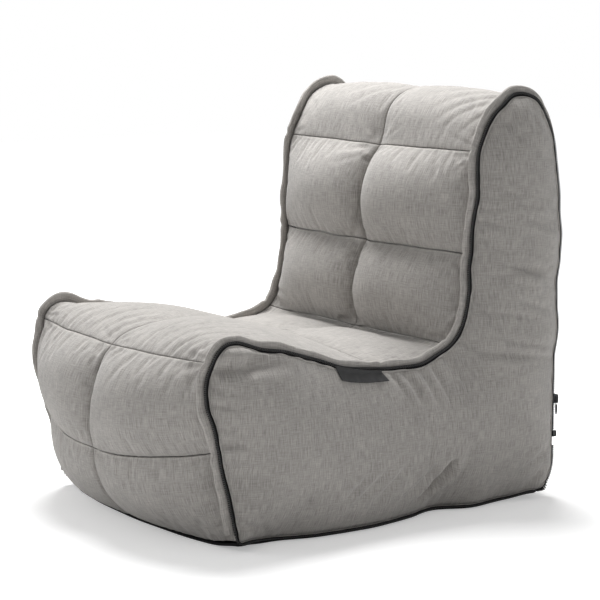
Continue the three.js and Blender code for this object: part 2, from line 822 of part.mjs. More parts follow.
function zipHalf({ y, length, tapeWidth: width, tapeThickness: thickness }, z, side) {
  const start = fillerRow.gap / 2;
  const foot = start + fillerRow.width;
  const row = fillerRow.thickness / 2;
  const web = thickness / 2;
  const section = outline([
    [start, -row],
    [foot, -row],
    [foot, -web],
    [width, -web],
    [width, web],
    [foot, web],
    [foot, row],
    [start, row],
  ]);
  const frame = new THREE.Matrix4().set(
    0, 0, 1, -length / 2,
    1, 0, 0, y,
    0, 1, 0, z,
    0, 0, 0, 1,
  );
  if (side < 0) frame.multiply(new THREE.Matrix4().makeRotationZ(Math.PI));
  return block(section, length).applyMatrix4(frame);
}

const fillerSliderSize = {
  length: 11,
  halfWidth: 3.9,
  channelHalf: 3,
  channelHeight: 2.1,
  plate: 0.9,
  tapeSlot: 1.2,
  postHalf: 0.35,
};
const fillerSliderHalf = fillerSliderSize.channelHeight / 2 + fillerSliderSize.plate;

// The slider has no pull, so that a child can't open the zip. It is parked at the zip's closed end.
function fillerSlider({ y, length }, z) {
  const parked = length / 2 - fillerSliderSize.length;
  const frame = new THREE.Matrix4().set(
    0, 1, 0, parked,
    -1, 0, 0, y,
    0, 0, 1, z,
    0, 0, 0, 1,
  );
  return toGeometry(sliderSolid(fillerSliderSize)).applyMatrix4(frame);
}

const baseZipHeight = baseCloth + gap + baseZip.tapeThickness / 2;
addNode("base_zip_front", zipHalf(baseZip, baseZipHeight, -1), tapeCloth());
addNode("base_zip_rear", zipHalf(baseZip, baseZipHeight, 1), tapeCloth());
addNode("base_zip_slider", fillerSlider(baseZip, baseZipHeight), lacqueredMetal());

// ---------------------------------------------------------------- the liner and its filling

const linerFloor = baseZipHeight + fillerSliderHalf + gap;
const linerZipHeight = linerFloor - gap - linerZip.tapeThickness / 2;
const fillingFloor = Math.max(linerFloor + linerCloth, linerZipHeight + fillerSliderHalf) + gap;
const bagSectionsAt = [-0.93, -0.6, 0, 0.6, 0.93]; // shares of half the strip
const bagStep = 80; // of its faceting along the seams
const bagCorner = 32; // how far the edges of the bag's floor are rounded up

// A closed bag that follows the cover at a distance, with a flat floor.
function bagShape(inset, floor) {
  const stations = rows.flatMap((row, r) => {
    const steps = Math.max(2, Math.round(rowLength(r) / bagStep));
    return Array.from({ length: steps }, (_, j) => ({ row: r, v: j / steps }));
  });
  stations.push({ row: lastRow, v: 1 });
  const underShares = [0.25, 0.5, 0.75];
  const low = floor + bagCorner;

  const section = (x) => {
    const lowest = Math.abs(x) > 0.8 * stripHalf ? low : floor;
    const line = stations.map((station) => {
      const { place, out } = stripFace(x, station.row, station.v);
      place.addScaledVector(out, -inset);
      place.z = Math.max(place.z, lowest);
      return place;
    });
    const [front, rear] = [line[0], line[line.length - 1]];
    front.setZ(lowest);
    rear.setZ(lowest);
    underShares.forEach((share) => line.push(rear.clone().lerp(front, share)));
    return line;
  };

  // The rim stands inside the side seam, and the cheek fills the side panel's bulge.
  const besidePanel = (edge, share) => {
    const place = sideFace(edge, share);
    return new THREE.Vector3(place.x - inset, place.y, Math.max(place.z, low));
  };
  const seamEdges = stations.map(({ row, v }) => onSeam(sideSeam, row, v).place.setX(tapeX + clothOffset));
  const baseEdges = underShares.map((share) => basePath.getPointAt(share));
  const rim = stations.map(({ row, v }) => {
    const { place, tangent } = onSeam(sideSeam, row, v);
    place.addScaledVector(outward(tangent), -linerInset);
    return place.set(tapeX + sideBulge * sideSwell(linerInset) - inset, place.y, Math.max(place.z, low));
  });
  baseEdges.forEach((edge) => rim.push(besidePanel(edge, 1 - low / hub.z)));
  const cheek = [...seamEdges, ...baseEdges].map((edge) => besidePanel(edge, 0.5));
  const pole = besidePanel(hub, 0);

  const flip = (p) => new THREE.Vector3(-p.x, p.y, p.z);
  const sections = bagSectionsAt.map((share) => section(share * stripHalf));
  const rings = [cheek.map(flip), rim.map(flip), ...sections, rim, cheek];
  return ballSolid(rings, flip(pole), pole);
}

// The same bag a little smaller all over, with no point under the given floor.
function shrunk(bag, distance, floor) {
  const smaller = bag.clone();
  smaller.computeVertexNormals();
  const place = smaller.attributes.position;
  const normal = smaller.attributes.normal;
  for (let k = 0; k < place.count; k++) {
    const [x, y, z] = ["getX", "getY", "getZ"].map((get) => place[get](k) - distance * normal[get](k));
    place.setXYZ(k, x, y, Math.max(z, floor));
  }
  return smaller;
}

const linerBag = bagShape(linerInset, linerFloor);
const linerRoom = toSolid(shrunk(linerBag, linerCloth, linerFloor + linerCloth));

// The liner is a thin bag with a mouth in its floor, which its own zip closes.
function liner() {
  const shell = toSolid(linerBag).subtract(linerRoom);
  const mouth = block(outline(mouthPoints(linerZip).reverse()), 20);
  return toGeometry(shell.subtract(toSolid(mouth.translate(0, 0, linerFloor - 10))));
}

addNode("inner_liner", liner(), lining());
addNode("liner_zip_front", zipHalf(linerZip, linerZipHeight, -1), lining());
addNode("liner_zip_rear", zipHalf(linerZip, linerZipHeight, 1), lining());
addNode("liner_zip_slider", fillerSlider(linerZip, linerZipHeight), lacqueredMetal());

const shifts = [[gap, 0, 0], [-gap, 0, 0], [0, gap, 0], [0, -gap, 0], [0, 0, gap], [0, 0, -gap]];
const filling = shifts
  .reduce(
    (solid, shift) => solid.intersect(linerRoom.translate(shift)),
    toSolid(shrunk(linerBag, linerCloth + fillingEase, fillingFloor)),
  )
  .decompose()
  .reduce((largest, piece) => (piece.volume() > largest.volume() ? piece : largest));
addNode("bead_filling", toGeometry(filling), beads());

// ---------------------------------------------------------------- the part's origin

// The middle of the chair's footprint box, on the floor.
const bounds = new THREE.Box3().setFromObject(group, true);
group.position.set(0, -(bounds.min.y + bounds.max.y) / 2, 0);

export default group;
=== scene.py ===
import math

import bmesh
import bpy
import numpy as np
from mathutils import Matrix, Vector, geometry
from mathutils.bvhtree import BVHTree


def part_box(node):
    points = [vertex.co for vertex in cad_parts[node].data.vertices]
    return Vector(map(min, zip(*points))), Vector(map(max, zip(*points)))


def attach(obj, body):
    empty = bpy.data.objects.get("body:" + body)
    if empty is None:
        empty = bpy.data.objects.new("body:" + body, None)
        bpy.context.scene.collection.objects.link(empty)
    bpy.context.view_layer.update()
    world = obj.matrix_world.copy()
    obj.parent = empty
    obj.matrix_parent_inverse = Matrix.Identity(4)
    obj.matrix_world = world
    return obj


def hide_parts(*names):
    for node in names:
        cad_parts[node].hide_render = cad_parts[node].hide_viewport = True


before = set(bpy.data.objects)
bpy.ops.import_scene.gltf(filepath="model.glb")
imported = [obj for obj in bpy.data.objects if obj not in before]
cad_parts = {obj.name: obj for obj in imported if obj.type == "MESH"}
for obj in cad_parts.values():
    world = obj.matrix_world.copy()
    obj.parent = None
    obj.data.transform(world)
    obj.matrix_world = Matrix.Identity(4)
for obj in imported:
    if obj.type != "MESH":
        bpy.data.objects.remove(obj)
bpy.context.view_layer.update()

# Bean bag lounge chair. Metres, +Z up, the sitter faces -Y, the sitter's left is +X.
# The strip's rows of panels run from the front hem over the seat and the back to the rear hem.

chair = {
    "seamSpacing": 0.617,  # between the middles of the two welts
    "gap": 0.0003,
    "hemHeight": 0.0033,
    "frontReach": 0.374,
    "rearReach": 0.457,
    "seatHeight": 0.381,
    "backHeight": 0.798,
    "weltThickness": 0.008,
    "tapeThickness": 0.0012,
    "tapeWidth": 0.0035,
    "zipRunTop": 0.262,
    "zipRunBottom": 0.084,
    "zipRunInset": 0.017,
    "hemClear": 0.024,
}

halfSeam = chair["seamSpacing"] / 2
stripHalf = halfSeam - chair["weltThickness"] / 2 - chair["gap"]
tapeX = halfSeam + chair["weltThickness"] / 2 + chair["gap"] + chair["tapeThickness"] / 2
panelX = tapeX + chair["tapeThickness"] / 2 + chair["gap"]
tapeFloor = chair["hemHeight"] + chair["tapeThickness"] / 2
hem = chair["hemHeight"]

# The label's middle lies this far in front of the middle of the seams, which places the seams in the frame.
labelAhead = 0.032
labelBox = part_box("label_tag")
shiftY = (labelBox[0].y + labelBox[1].y) / 2 + labelAhead


def frontY(behind):
    return behind - chair["frontReach"] + shiftY


def rearY(before):
    return chair["rearReach"] - before + shiftY


def midY(y):
    return y + shiftY


def seatZ(below):
    return chair["seatHeight"] - below


def backZ(below):
    return chair["backHeight"] - below


zipRunY = rearY(chair["zipRunInset"])

# The cross seams, from the front hem to the rear hem: where each meets the side seams and the centre seam.
crossSeams = [
    {"side": (frontY(0.074), hem), "middle": (frontY(0.050), hem)},  # front hem
    {"side": (frontY(0.026), 0.183), "middle": (frontY(-0.038), 0.150)},  # lower front
    {"side": (frontY(0.017), seatZ(0.027)), "middle": (frontY(0.006), seatZ(0.041))},  # seat edge
    {"side": (midY(0.026), seatZ(0.076)), "middle": (midY(-0.012), seatZ(0.043))},  # mid seat
    {"side": (rearY(0.270), seatZ(0.050)), "middle": (rearY(0.265), seatZ(0.057))},  # crease
    {"side": (rearY(0.226), backZ(0.293)), "middle": (rearY(0.235), backZ(0.303))},  # mid back
    {"side": (rearY(0.214), backZ(0.108)), "middle": (rearY(0.204), backZ(0.116))},  # upper back
    {"side": (rearY(0.019), backZ(0.106)), "middle": (rearY(0.011), backZ(0.110))},  # rear shoulder
    {"side": (rearY(0.000), backZ(0.305)), "middle": (rearY(-0.006), backZ(0.305))},  # mid rear
    {"side": (rearY(0.008), 0.325), "middle": (rearY(0.001), 0.320)},  # low rear
    {"side": (rearY(0.045), hem), "middle": (rearY(0.033), hem)},  # rear hem
]

# The rows of panels between them: the points that the side seam and the centre seam pass on the way, how far
# the filling crowns the panels before the cloth is blown up, and how tight each panel is.
rows = [
    {"name": "front_lower", "side": [(frontY(0.049), 0.085)], "middle": [(frontY(-0.014), 0.072)],
     "crown": 0.012, "fill": 0.7, "puff": 0.9},
    {"name": "front_upper", "side": [(frontY(0.0), seatZ(0.109))], "middle": [(frontY(-0.034), seatZ(0.131))],
     "crown": 0.022, "fill": 0.75, "puff": 0.9, "peak": 0.85},
    {"name": "seat_front",
     "side": [(frontY(0.052), seatZ(0.0)), (frontY(0.145), seatZ(0.009)), (midY(-0.104), seatZ(0.047))],
     "middle": [(frontY(0.058), seatZ(0.015)), (frontY(0.176), seatZ(0.003)), (midY(-0.090), seatZ(0.027))],
     "crown": 0.008, "fill": 0.6, "puff": 0.45},
    {"name": "seat_rear", "side": [(midY(0.125), seatZ(0.072))], "middle": [(midY(0.106), seatZ(0.053))],
     "crown": 0.006, "fill": 0.6, "puff": 0.45},
    {"name": "back_lower", "side": [(rearY(0.237), seatZ(-0.009))], "middle": [(rearY(0.261), seatZ(-0.019))],
     "crown": 0.026, "fill": 0.85, "puff": 1.0, "peak": 0.66, "foldDepth": 0.75},
    {"name": "back_middle", "side": [(rearY(0.218), backZ(0.193))], "middle": [(rearY(0.235), backZ(0.208))],
     "crown": 0.028, "fill": 0.9, "puff": 1.0, "peak": 0.66, "foldDepth": 0.6},
    {"name": "back_top",
     "side": [(rearY(0.175), backZ(0.035)), (rearY(0.119), backZ(0.0)), (rearY(0.059), backZ(0.017))],
     "middle": [(rearY(0.172), backZ(0.043)), (rearY(0.117), backZ(0.016)), (rearY(0.052), backZ(0.036))],
     "crown": 0.0, "fill": 0.7, "puff": 0.35, "peak": 0.8, "foldDepth": 0.65},
    {"name": "rear_upper", "side": [(rearY(0.007), backZ(0.198))], "middle": [(rearY(-0.001), backZ(0.198))],
     "crown": 0.014, "fill": 0.7, "puff": 0.8},
    {"name": "rear_middle", "side": [(rearY(0.003), seatZ(-0.029))],
     "middle": [(rearY(-0.007), seatZ(-0.024))],
     "crown": 0.014, "fill": 0.7, "puff": 0.8},
    {"name": "rear_lower",
     "side": [(zipRunY, chair["zipRunTop"] + 0.020), (zipRunY, chair["zipRunTop"]),
              (zipRunY, chair["zipRunBottom"]), (zipRunY, chair["zipRunBottom"] - 0.016),
              (rearY(0.027), 0.034)],
     "middle": [(rearY(0.005), 0.230), (rearY(0.007), 0.120)],
     "crown": 0.012, "fill": 0.7, "puff": 0.7},
]

# The edge of the base along one side, from the rear to the front: how far inside the seam, and y.
baseEdge = [
    (0.001, rearY(0.059)),
    (0.020, rearY(0.127)),
    (0.013, rearY(0.208)),
    (0.040, rearY(0.281)),
    (0.020, rearY(0.352)),
    (0.003, midY(0.010)),
    (0.009, frontY(0.254)),
    (0.030, frontY(0.164)),
    (0.004, frontY(0.090)),
]

# How far the filling lifts each cross seam out of its straight line, half-way from the centre to the side.
seamLift = [0, 0.006, 0.003, 0.002, 0, 0.018, 0.013, 0.002, 0.005, 0.005, 0]

print("bean bag chair: seams placed at", round(shiftY, 4))


# Curves and wavering lines.

def runOf(points):
    # How far along a line each of its points lies.
    return np.concatenate([[0], np.cumsum(np.linalg.norm(np.diff(points, axis=0), axis=1))])


def onLine(points, run, distance):
    return np.stack([np.interp(distance, run, column) for column in points.T], -1)


def smoothCurve(points, steps=32):
    pts = [np.array(p, float) for p in points]
    pts = [2 * pts[0] - pts[1], *pts, 2 * pts[-1] - pts[-2]]
    t = np.linspace(0, 1, steps, endpoint=False)[:, None]
    fine = []
    for p0, p1, p2, p3 in zip(pts, pts[1:], pts[2:], pts[3:]):
        d0, d1, d2 = (math.sqrt(np.linalg.norm(b - a)) for a, b in ((p0, p1), (p1, p2), (p2, p3)))
        m1 = ((p1 - p0) / d0 - (p2 - p0) / (d0 + d1) + (p2 - p1) / d1) * d1
        m2 = ((p2 - p1) / d1 - (p3 - p1) / (d1 + d2) + (p3 - p2) / d2) * d1
        second = -3 * p1 + 3 * p2 - 2 * m1 - m2
        third = 2 * p1 - 2 * p2 + m1 + m2
        fine.append(p1 + m1 * t + second * t**2 + third * t**3)
    fine = np.vstack([*fine, pts[-2]])
    run = runOf(fine)
    return {"points": fine, "run": run, "knots": run[::steps], "length": run[-1]}


def onCurve(curve, distance):
    return onLine(curve["points"], curve["run"], distance)


def tangentOf(curve, distance, reach=0.002):
    ahead = onCurve(curve, np.minimum(distance + reach, curve["length"]))
    back = onCurve(curve, np.maximum(distance - reach, 0))
    return unit(ahead - back)


def unit(vectors):
    return vectors / np.maximum(np.linalg.norm(vectors, axis=-1, keepdims=True), 1e-12)


def waver(places, spacing, seed):
    # A smooth random line: about one swing for each spacing, mostly within -1 and 1.
    places = np.asarray(places, float)
    low, high = places.min(), places.max()
    count = max(4, int((high - low) / spacing) + 4)
    values = np.random.default_rng(seed).uniform(-1, 1, count + 2)
    t = (places - low) / spacing % (count - 1)
    k = t.astype(int)
    f = t - k
    f = f * f * (3 - 2 * f)
    return values[k] * (1 - f) + values[k + 1] * f


def gatherLine(places, spacing, seed):
    # Uneven puckers along a seam: sharp valleys between rounded hills, one for each spacing on average.
    places = np.asarray(places, float)
    phase = (places - places.min()) / spacing + 0.45 * waver(places, spacing * 2.7, seed)
    hills = 1 - np.abs(np.cos(np.pi * phase)) ** 0.8
    strength = 0.55 + 0.45 * waver(places, spacing * 3.1, seed + 1)
    return (hills - 0.45) * strength


def seamCurve(which):
    return smoothCurve([p for k, seam in enumerate(crossSeams)
                        for p in [seam[which], *(rows[k][which] if k < len(rows) else [])]])


sideCurve, middleCurve = seamCurve("side"), seamCurve("middle")


def stations(which, curve):
    places, k = [], 0
    for r in range(len(crossSeams)):
        places.append(curve["knots"][k])
        if r < len(rows):
            k += 1 + len(rows[r][which])
    return places


sideAt = stations("side", sideCurve)
middleAt = stations("middle", middleCurve)

# The welts pull their seams into the filling, so that it is their crests that keep the outline. At each
# place, counted in cross seams from the front hem: how far the side seams and the centre seam lie in.
seamSink = [
    (0.0, 0.008), (0.5, 0.013), (1.0, 0.018), (1.5, 0.021), (1.9, 0.020), (2.12, 0.010), (2.35, 0.015),
    (2.8, 0.014), (3.0, 0.010), (3.6, 0.009), (4.0, 0.008), (4.5, 0.002), (5.0, 0.007), (5.5, 0.008),
    (6.0, 0.006), (6.3, 0.010), (6.6, 0.010), (6.9, 0.011), (7.2, 0.006), (8.5, 0.006), (8.9, 0.002),
    (9.1, 0.0), (10.0, 0.0),
]
centreSink = [
    (0.0, 0.0), (2.1, 0.0), (2.5, 0.005), (3.4, 0.004), (3.9, 0.0), (6.1, 0.0), (6.35, -0.012),
    (6.75, -0.011), (7.0, -0.004), (7.3, 0.0), (10.0, 0.0),
]


def sinkSeam(curve, crossAt, sink, blur=15):
    place = np.interp(curve["run"], crossAt, np.arange(len(crossAt)))
    depth = np.interp(place, *np.array(sink).T)
    window = np.hanning(2 * blur + 1)
    depth = np.convolve(np.pad(depth, blur, mode="edge"), window / window.sum(), mode="valid")
    tangent = tangentOf(curve, curve["run"])
    curve["points"] = curve["points"] - np.stack([-tangent[:, 1], tangent[:, 0]], -1) * depth[:, None]


sinkSeam(sideCurve, sideAt, seamSink)
sinkSeam(middleCurve, middleAt, centreSink)
sideAt[5] -= 0.010  # the mid back seam runs down towards the sides

# The side seams aren't straight: they waver out of the strip and over to the side, but not along the
# zip's open run.
seamWaves = {
    "over": 0.0052,
    "out": 0.0040,
    "spacing": 0.047,
    "calmBelow": 0.33,  # height on the rear
    "fadeIn": 0.09,
    "footFadeIn": 0.06,  # height at the front
    "reach": 0.032,  # how far into the strip they show
    "rear": 1.9,  # how much stronger they are down the rear
    "rearFrom": 0.25,  # beyond the upper back seam
    "rearOver": 0.08,
}


def seamWaver(distance):
    look = seamWaves
    distance = np.asarray(distance, float)
    z = np.interp(distance, sideCurve["run"], sideCurve["points"][:, 1])
    onRear = distance > sideCurve["length"] * 0.6
    calm = np.clip(np.where(onRear, (z - look["calmBelow"]) / look["fadeIn"], z / look["footFadeIn"]), 0, 1)
    table = np.linspace(0, sideCurve["length"], 2400)
    over = np.interp(distance, table, waver(table, look["spacing"], 21))
    out = np.interp(distance, table, waver(table, look["spacing"] * 1.3, 22))
    behind = np.clip((distance - sideAt[6] - look["rearFrom"]) / look["rearOver"], 0, 1)
    return look["out"] * out * calm * (1 + (look["rear"] - 1) * behind), look["over"] * over * calm


crownPower = 2.3

# The lower edge of the cloth stands on the hem of the base, and its corners are rounder than the base's.
footLook = {
    "edge": 0.0030,
    "edgeReach": 0.030,
    "corner": 0.0100,
    "frontReach": 0.060,
    "rearReach": 0.040,
    "into": 0.045,
}


def footRise(fromFront, fromRear, atSide=1.0):
    look = footLook
    front, rear = np.exp(-(fromFront / look["frontReach"]) ** 2), np.exp(-(fromRear / look["rearReach"]) ** 2)
    edge = look["edge"] * np.exp(-np.minimum(fromFront, fromRear) / look["edgeReach"])
    return edge + look["corner"] * np.maximum(front, rear) * atSide


def swell(t):
    return 1 - np.abs(2 * t - 1) ** crownPower


def stripFace(x, row, v):
    # Places on the outer face of the strip for arrays of x and v, and the directions out of it.
    x, v = np.broadcast_arrays(np.asarray(x, float), np.asarray(v, float))
    sideRun = sideAt[row] + (sideAt[row + 1] - sideAt[row]) * v
    middleRun = middleAt[row] + (middleAt[row + 1] - middleAt[row]) * v
    across = np.minimum(1, np.abs(x) / stripHalf)
    share = (across**2)[..., None]
    place = onCurve(middleCurve, middleRun) * (1 - share) + onCurve(sideCurve, sideRun) * share
    tangent = unit(tangentOf(middleCurve, middleRun) * (1 - share) + tangentOf(sideCurve, sideRun) * share)
    out = np.stack([-tangent[..., 1], tangent[..., 0]], -1)
    lift = seamLift[row] * (1 - v) + seamLift[row + 1] * v
    crown = swell(across ** rows[row].get("peak", 1.0)) * (lift + rows[row]["crown"] * swell(v))
    place = place + out * crown[..., None]
    flat = np.zeros_like(x)[..., None]
    return np.concatenate([x[..., None], place], -1), np.concatenate([flat, out], -1)


# Meshes.

def placed(name, data):
    thing = bpy.data.objects.new(name, data)
    bpy.context.scene.collection.objects.link(thing)
    return thing


def newMesh(name, points, faces):
    mesh = bpy.data.meshes.new(name)
    mesh.from_pydata(np.asarray(points, float).tolist(), [], [list(face) for face in faces])
    return mesh


def mirrorOf(points):
    return points * [-1, 1, 1]


def newPiece(name, points, faces, finish, mirror=False, smooth=True):
    if mirror:
        points = mirrorOf(np.asarray(points, float))
        faces = [list(face)[::-1] for face in faces]
    mesh = newMesh(name, points, faces)
    mesh.materials.append(finish)
    if smooth:
        mesh.shade_smooth()
    return placed(name, mesh)


def standsFor(piece, node):
    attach(piece, "chair")
    if node:
        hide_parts(node)


def sideWord(side):
    return "left" if side > 0 else "right"


def pointsOf(mesh):
    places = np.empty(len(mesh.vertices) * 3)
    mesh.vertices.foreach_get("co", places)
    return places.reshape(-1, 3)


def shapeOf(holder):
    # The points and faces of a helper object with its modifiers applied, after which it goes.
    mesh = holder.evaluated_get(bpy.context.evaluated_depsgraph_get()).data
    shape = pointsOf(mesh), [list(face.vertices) for face in mesh.polygons]
    bpy.data.objects.remove(holder)
    return shape


def weaveUv(piece, coordinates):
    layer = piece.data.uv_layers.new(name="weave")
    corners = np.empty(len(piece.data.loops), int)
    piece.data.loops.foreach_get("vertex_index", corners)
    layer.data.foreach_set("uv", np.asarray(coordinates, np.float32)[corners].ravel())


def shadeBy(piece, values):
    # Each point's tone: paler for wear, darker for painted shade, and in places paler for painted light.
    layer = piece.data.attributes.new("wear_and_shade", "FLOAT", "POINT")
    layer.data.foreach_set("value", np.asarray(values, np.float32))


def gridFaces(high, wide, closedWide=False, closedHigh=False):
    down = np.arange(high if closedHigh else high - 1)
    across = np.arange(wide if closedWide else wide - 1)
    j, i = np.meshgrid(down, across, indexing="ij")
    j, i = j.ravel(), i.ravel()
    j2, i2 = (j + 1) % high, (i + 1) % wide
    return np.stack([j * wide + i, j * wide + i2, j2 * wide + i2, j2 * wide + i], 1)


def sweep(place, out, over, outBy, overBy):
    # Rings of points round a line: how far out of the seam and over to the side each corner lies.
    return place[:, None] + out[:, None] * outBy[..., None] + over[:, None] * overBy[..., None]


def sweptFaces(rings, size, closed):
    # Faces round rings of points, with a cap at each end if the line isn't closed.
    faces = gridFaces(rings, size, closedWide=True, closedHigh=closed).tolist()
    if not closed:
        faces += [list(range(size))[::-1], list(range((rings - 1) * size, rings * size))]
    return faces


def sweptPiece(name, rings, finish, closed, mirror=False):
    faces = sweptFaces(*rings.shape[:2], closed)
    return newPiece(name, rings.reshape(-1, 3), faces, finish, mirror)


def threadGrid(across, along):
    return np.stack(np.broadcast_arrays(across[None, :], along[:, None]), -1).reshape(-1, 2)


def sampleMatrix(count, at):
    # Weights that read a smooth curve through evenly spaced values at the given places from 0 to count - 1.
    at = np.asarray(at, float)
    weights = np.zeros((len(at), count))
    k = np.clip(at.astype(int), 0, count - 2)
    t = at - k
    parts = [(-t + 2 * t**2 - t**3) / 2, (2 - 5 * t**2 + 3 * t**3) / 2,
             (t + 4 * t**2 - 3 * t**3) / 2, (-t**2 + t**3) / 2]
    line = np.arange(len(at))
    for offset, part in zip((-1, 0, 1, 2), parts):
        place = k + offset
        low, high = place < 0, place > count - 1
        inside = ~(low | high)
        np.add.at(weights, (line[inside], place[inside]), part[inside])
        for outside, last, beside in ((low, 0, 1), (high, count - 1, count - 2)):
            np.add.at(weights, (line[outside], last), 2 * part[outside])
            np.add.at(weights, (line[outside], beside), -part[outside])
    return weights


def gridNormals(places):
    down = np.gradient(places, axis=0)
    over = np.gradient(places, axis=1)
    return unit(np.cross(over, down))


# The cloth is blown up over the seams, which hold still, and its folds are kept.

def blowUp(points, faces, held, look, cap):
    cloth = placed("cloth", newMesh("cloth", points, faces))
    pins = cloth.vertex_groups.new(name="seams")
    for k in np.flatnonzero(held):
        pins.add([int(k)], 1.0, "REPLACE")
    modifier = cloth.modifiers.new("Cloth", "CLOTH")
    rule = modifier.settings
    rule.quality = look["quality"]
    rule.mass = look["mass"]
    rule.air_damping = look["damping"]
    rule.tension_stiffness = rule.compression_stiffness = look["stretch"]
    rule.shear_stiffness = look["shear"]
    rule.bending_stiffness = look["bending"]
    rule.vertex_group_mass = "seams"
    rule.shrink_min = -look["ease"]
    rule.use_pressure = True
    rule.uniform_pressure_force = look["pressure"]
    rule.effector_weights.gravity = 0
    modifier.collision_settings.use_collision = False
    modifier.collision_settings.use_self_collision = False
    modifier.point_cache.frame_start = 1
    modifier.point_cache.frame_end = look["frames"]
    for step in range(1, look["frames"] + 1):
        bpy.context.scene.frame_set(step)
    move = shapeOf(cloth)[0] - points
    bpy.context.scene.frame_set(1)
    far = np.linalg.norm(move, axis=1, keepdims=True)
    print("  cloth moved up to", round(float(far.max()), 4), "mean", round(float(far.mean()), 4))
    return points + move * (cap * np.tanh(far / cap) / np.maximum(far, 1e-9))


# Materials. Lengths come from each piece's own UV layer, in metres along the threads.

def linear(colour):
    return [c / 12.92 if c <= 0.04045 else ((c + 0.055) / 1.055) ** 2.4 for c in colour] + [1.0]


def addNode(tree, kind, inputs=None, **settings):
    made = tree.nodes.new("ShaderNode" + kind)
    for key, value in settings.items():
        setattr(made, key, value)
    for key, value in (inputs or {}).items():
        if isinstance(value, bpy.types.NodeSocket):
            tree.links.new(value, made.inputs[key])
        else:
            made.inputs[key].default_value = value
    return made


class Finish:
    def __init__(self, name):
        self.material = bpy.data.materials.new(name)
        self.material.use_nodes = True
        self.tree = self.material.node_tree
        self.shader = self.tree.nodes["Principled BSDF"]

    def node(self, kind, inputs=None, **settings):
        return addNode(self.tree, kind, inputs, **settings)

    def math(self, operation, a, b=0.0, c=0.0):
        return self.node("Math", {0: a, 1: b, 2: c}, operation=operation).outputs[0]

    def spread(self, value, low, high, toLow, toHigh):
        return self.node("MapRange", {"Value": value, "From Min": low, "From Max": high,
                                      "To Min": toLow, "To Max": toHigh}).outputs["Result"]

    def noise(self, vector, scale, detail=2.0, roughness=0.5):
        return self.node("TexNoise", {"Vector": vector, "Scale": scale, "Detail": detail,
                                      "Roughness": roughness}).outputs["Fac"]

    def stretched(self, vector, scale, move=(0, 0, 0)):
        return self.node("Mapping", {"Vector": vector, "Scale": scale, "Location": move}).outputs["Vector"]

    def tint(self, colour, factor):
        return self.node("Mix", {"A": colour, "B": factor, "Factor": 1.0}, data_type="RGBA",
                         blend_type="MULTIPLY").outputs["Result"]

    def put(self, **sockets):
        for name, value in sockets.items():
            target = self.shader.inputs[name.replace("_", " ")]
            if isinstance(value, bpy.types.NodeSocket):
                self.tree.links.new(value, target)
            else:
                target.default_value = value


weaveLook = {
    "colour": (0.628, 0.613, 0.596),
    "slubLength": 0.024,
    "slubWidth": 0.0015,
    "slubContrast": 0.31,
    "weft": 0.55,  # how strong the cross threads show beside the long ones
    "dashes": 0.20,
    "mottle": 0.06,
    "mottleScale": 14.0,
    "wear_and_shade": 0.18,  # how much paler the worn edges are, and how much darker the painted shade in the seams and creases
    "threadPitch": 0.0013,
    "threadDepth": 0.00035,
    "roughness": 0.93,
    "sheen": 0.25,
}


def linenWeave(name, look):
    cloth = Finish(name)
    uv = cloth.node("UVMap", uv_map="weave").outputs["UV"]
    along, width = 1 / look["slubLength"], 1 / look["slubWidth"]
    weft = cloth.noise(cloth.stretched(uv, (along, width, 1)), 1.0, 2.0, 0.6)
    warp = cloth.noise(cloth.stretched(uv, (width, along, 1), (17.3, 4.1, 0)), 1.0, 2.0, 0.6)
    slubs = cloth.math("MULTIPLY_ADD", weft, look["weft"], warp)
    contrast = look["slubContrast"]
    middle = (1 + look["weft"]) / 2
    slubTone = cloth.spread(slubs, middle - 0.23, middle + 0.23, 1 - contrast, 1 + contrast)
    cloud = cloth.noise(uv, look["mottleScale"], 3.0, 0.55)
    cloudTone = cloth.spread(cloud, 0.3, 0.7, 1 - look["mottle"], 1 + look["mottle"])
    # The attribute pales the worn edges and darkens seams and creases with painted shade.
    wear_and_shade = cloth.node("Attribute", attribute_name="wear_and_shade").outputs["Fac"]
    wearAndShadeTone = cloth.math("MULTIPLY_ADD", wear_and_shade, look["wear_and_shade"], 1.0)
    threadEnds = cloth.noise(cloth.stretched(uv, (along * 1.7, width * 1.2, 1), (3.1, 8.7, 0)), 1.0, 1.0, 0.5)
    dashes = cloth.spread(threadEnds, 0.64, 0.74, 1.0, 1 + look["dashes"])
    tone = cloth.math("MULTIPLY", cloth.math("MULTIPLY", slubTone, cloudTone),
                      cloth.math("MULTIPLY", wearAndShadeTone, dashes))
    cloth.put(Base_Color=cloth.tint(linear(look["colour"]), tone), Roughness=look["roughness"],
              Sheen_Weight=look["sheen"], Sheen_Roughness=0.6, Specular_IOR_Level=0.25)
    split = cloth.node("SeparateXYZ", {"Vector": uv})
    turn = 2 * math.pi / look["threadPitch"]
    overThreads = cloth.math("SINE", cloth.math("MULTIPLY", split.outputs["X"], turn))
    upThreads = cloth.math("SINE", cloth.math("MULTIPLY", split.outputs["Y"], turn))
    threads = cloth.math("MULTIPLY", overThreads, upThreads)
    height = cloth.math("MULTIPLY_ADD", threads, 0.35, cloth.math("MULTIPLY", slubs, 1.4))
    bump = cloth.node("Bump", {"Strength": 0.55, "Distance": look["threadDepth"], "Height": height})
    cloth.put(Normal=bump.outputs["Normal"])
    return cloth.material


def plainFinish(name, colour, roughness, metallic=0.0, grain=900.0, grainDepth=0.00004, tone=0.1,
                sheen=0.0, shine=0.5):
    plain = Finish(name)
    place = plain.node("TexCoord").outputs["Object"]
    cloud = plain.noise(place, 60.0, 4.0)
    fine = plain.noise(place, grain, 3.0)
    shade = plain.spread(cloud, 0.3, 0.7, 1 - tone, 1 + tone)
    uneven = plain.spread(fine, 0.3, 0.7, roughness - 0.08, roughness + 0.08)
    plain.put(Base_Color=plain.tint(linear(colour), shade), Metallic=metallic, Sheen_Weight=sheen,
              Specular_IOR_Level=shine, Roughness=uneven)
    bump = plain.node("Bump", {"Strength": 0.4, "Distance": grainDepth, "Height": fine})
    plain.put(Normal=bump.outputs["Normal"])
    return plain.material


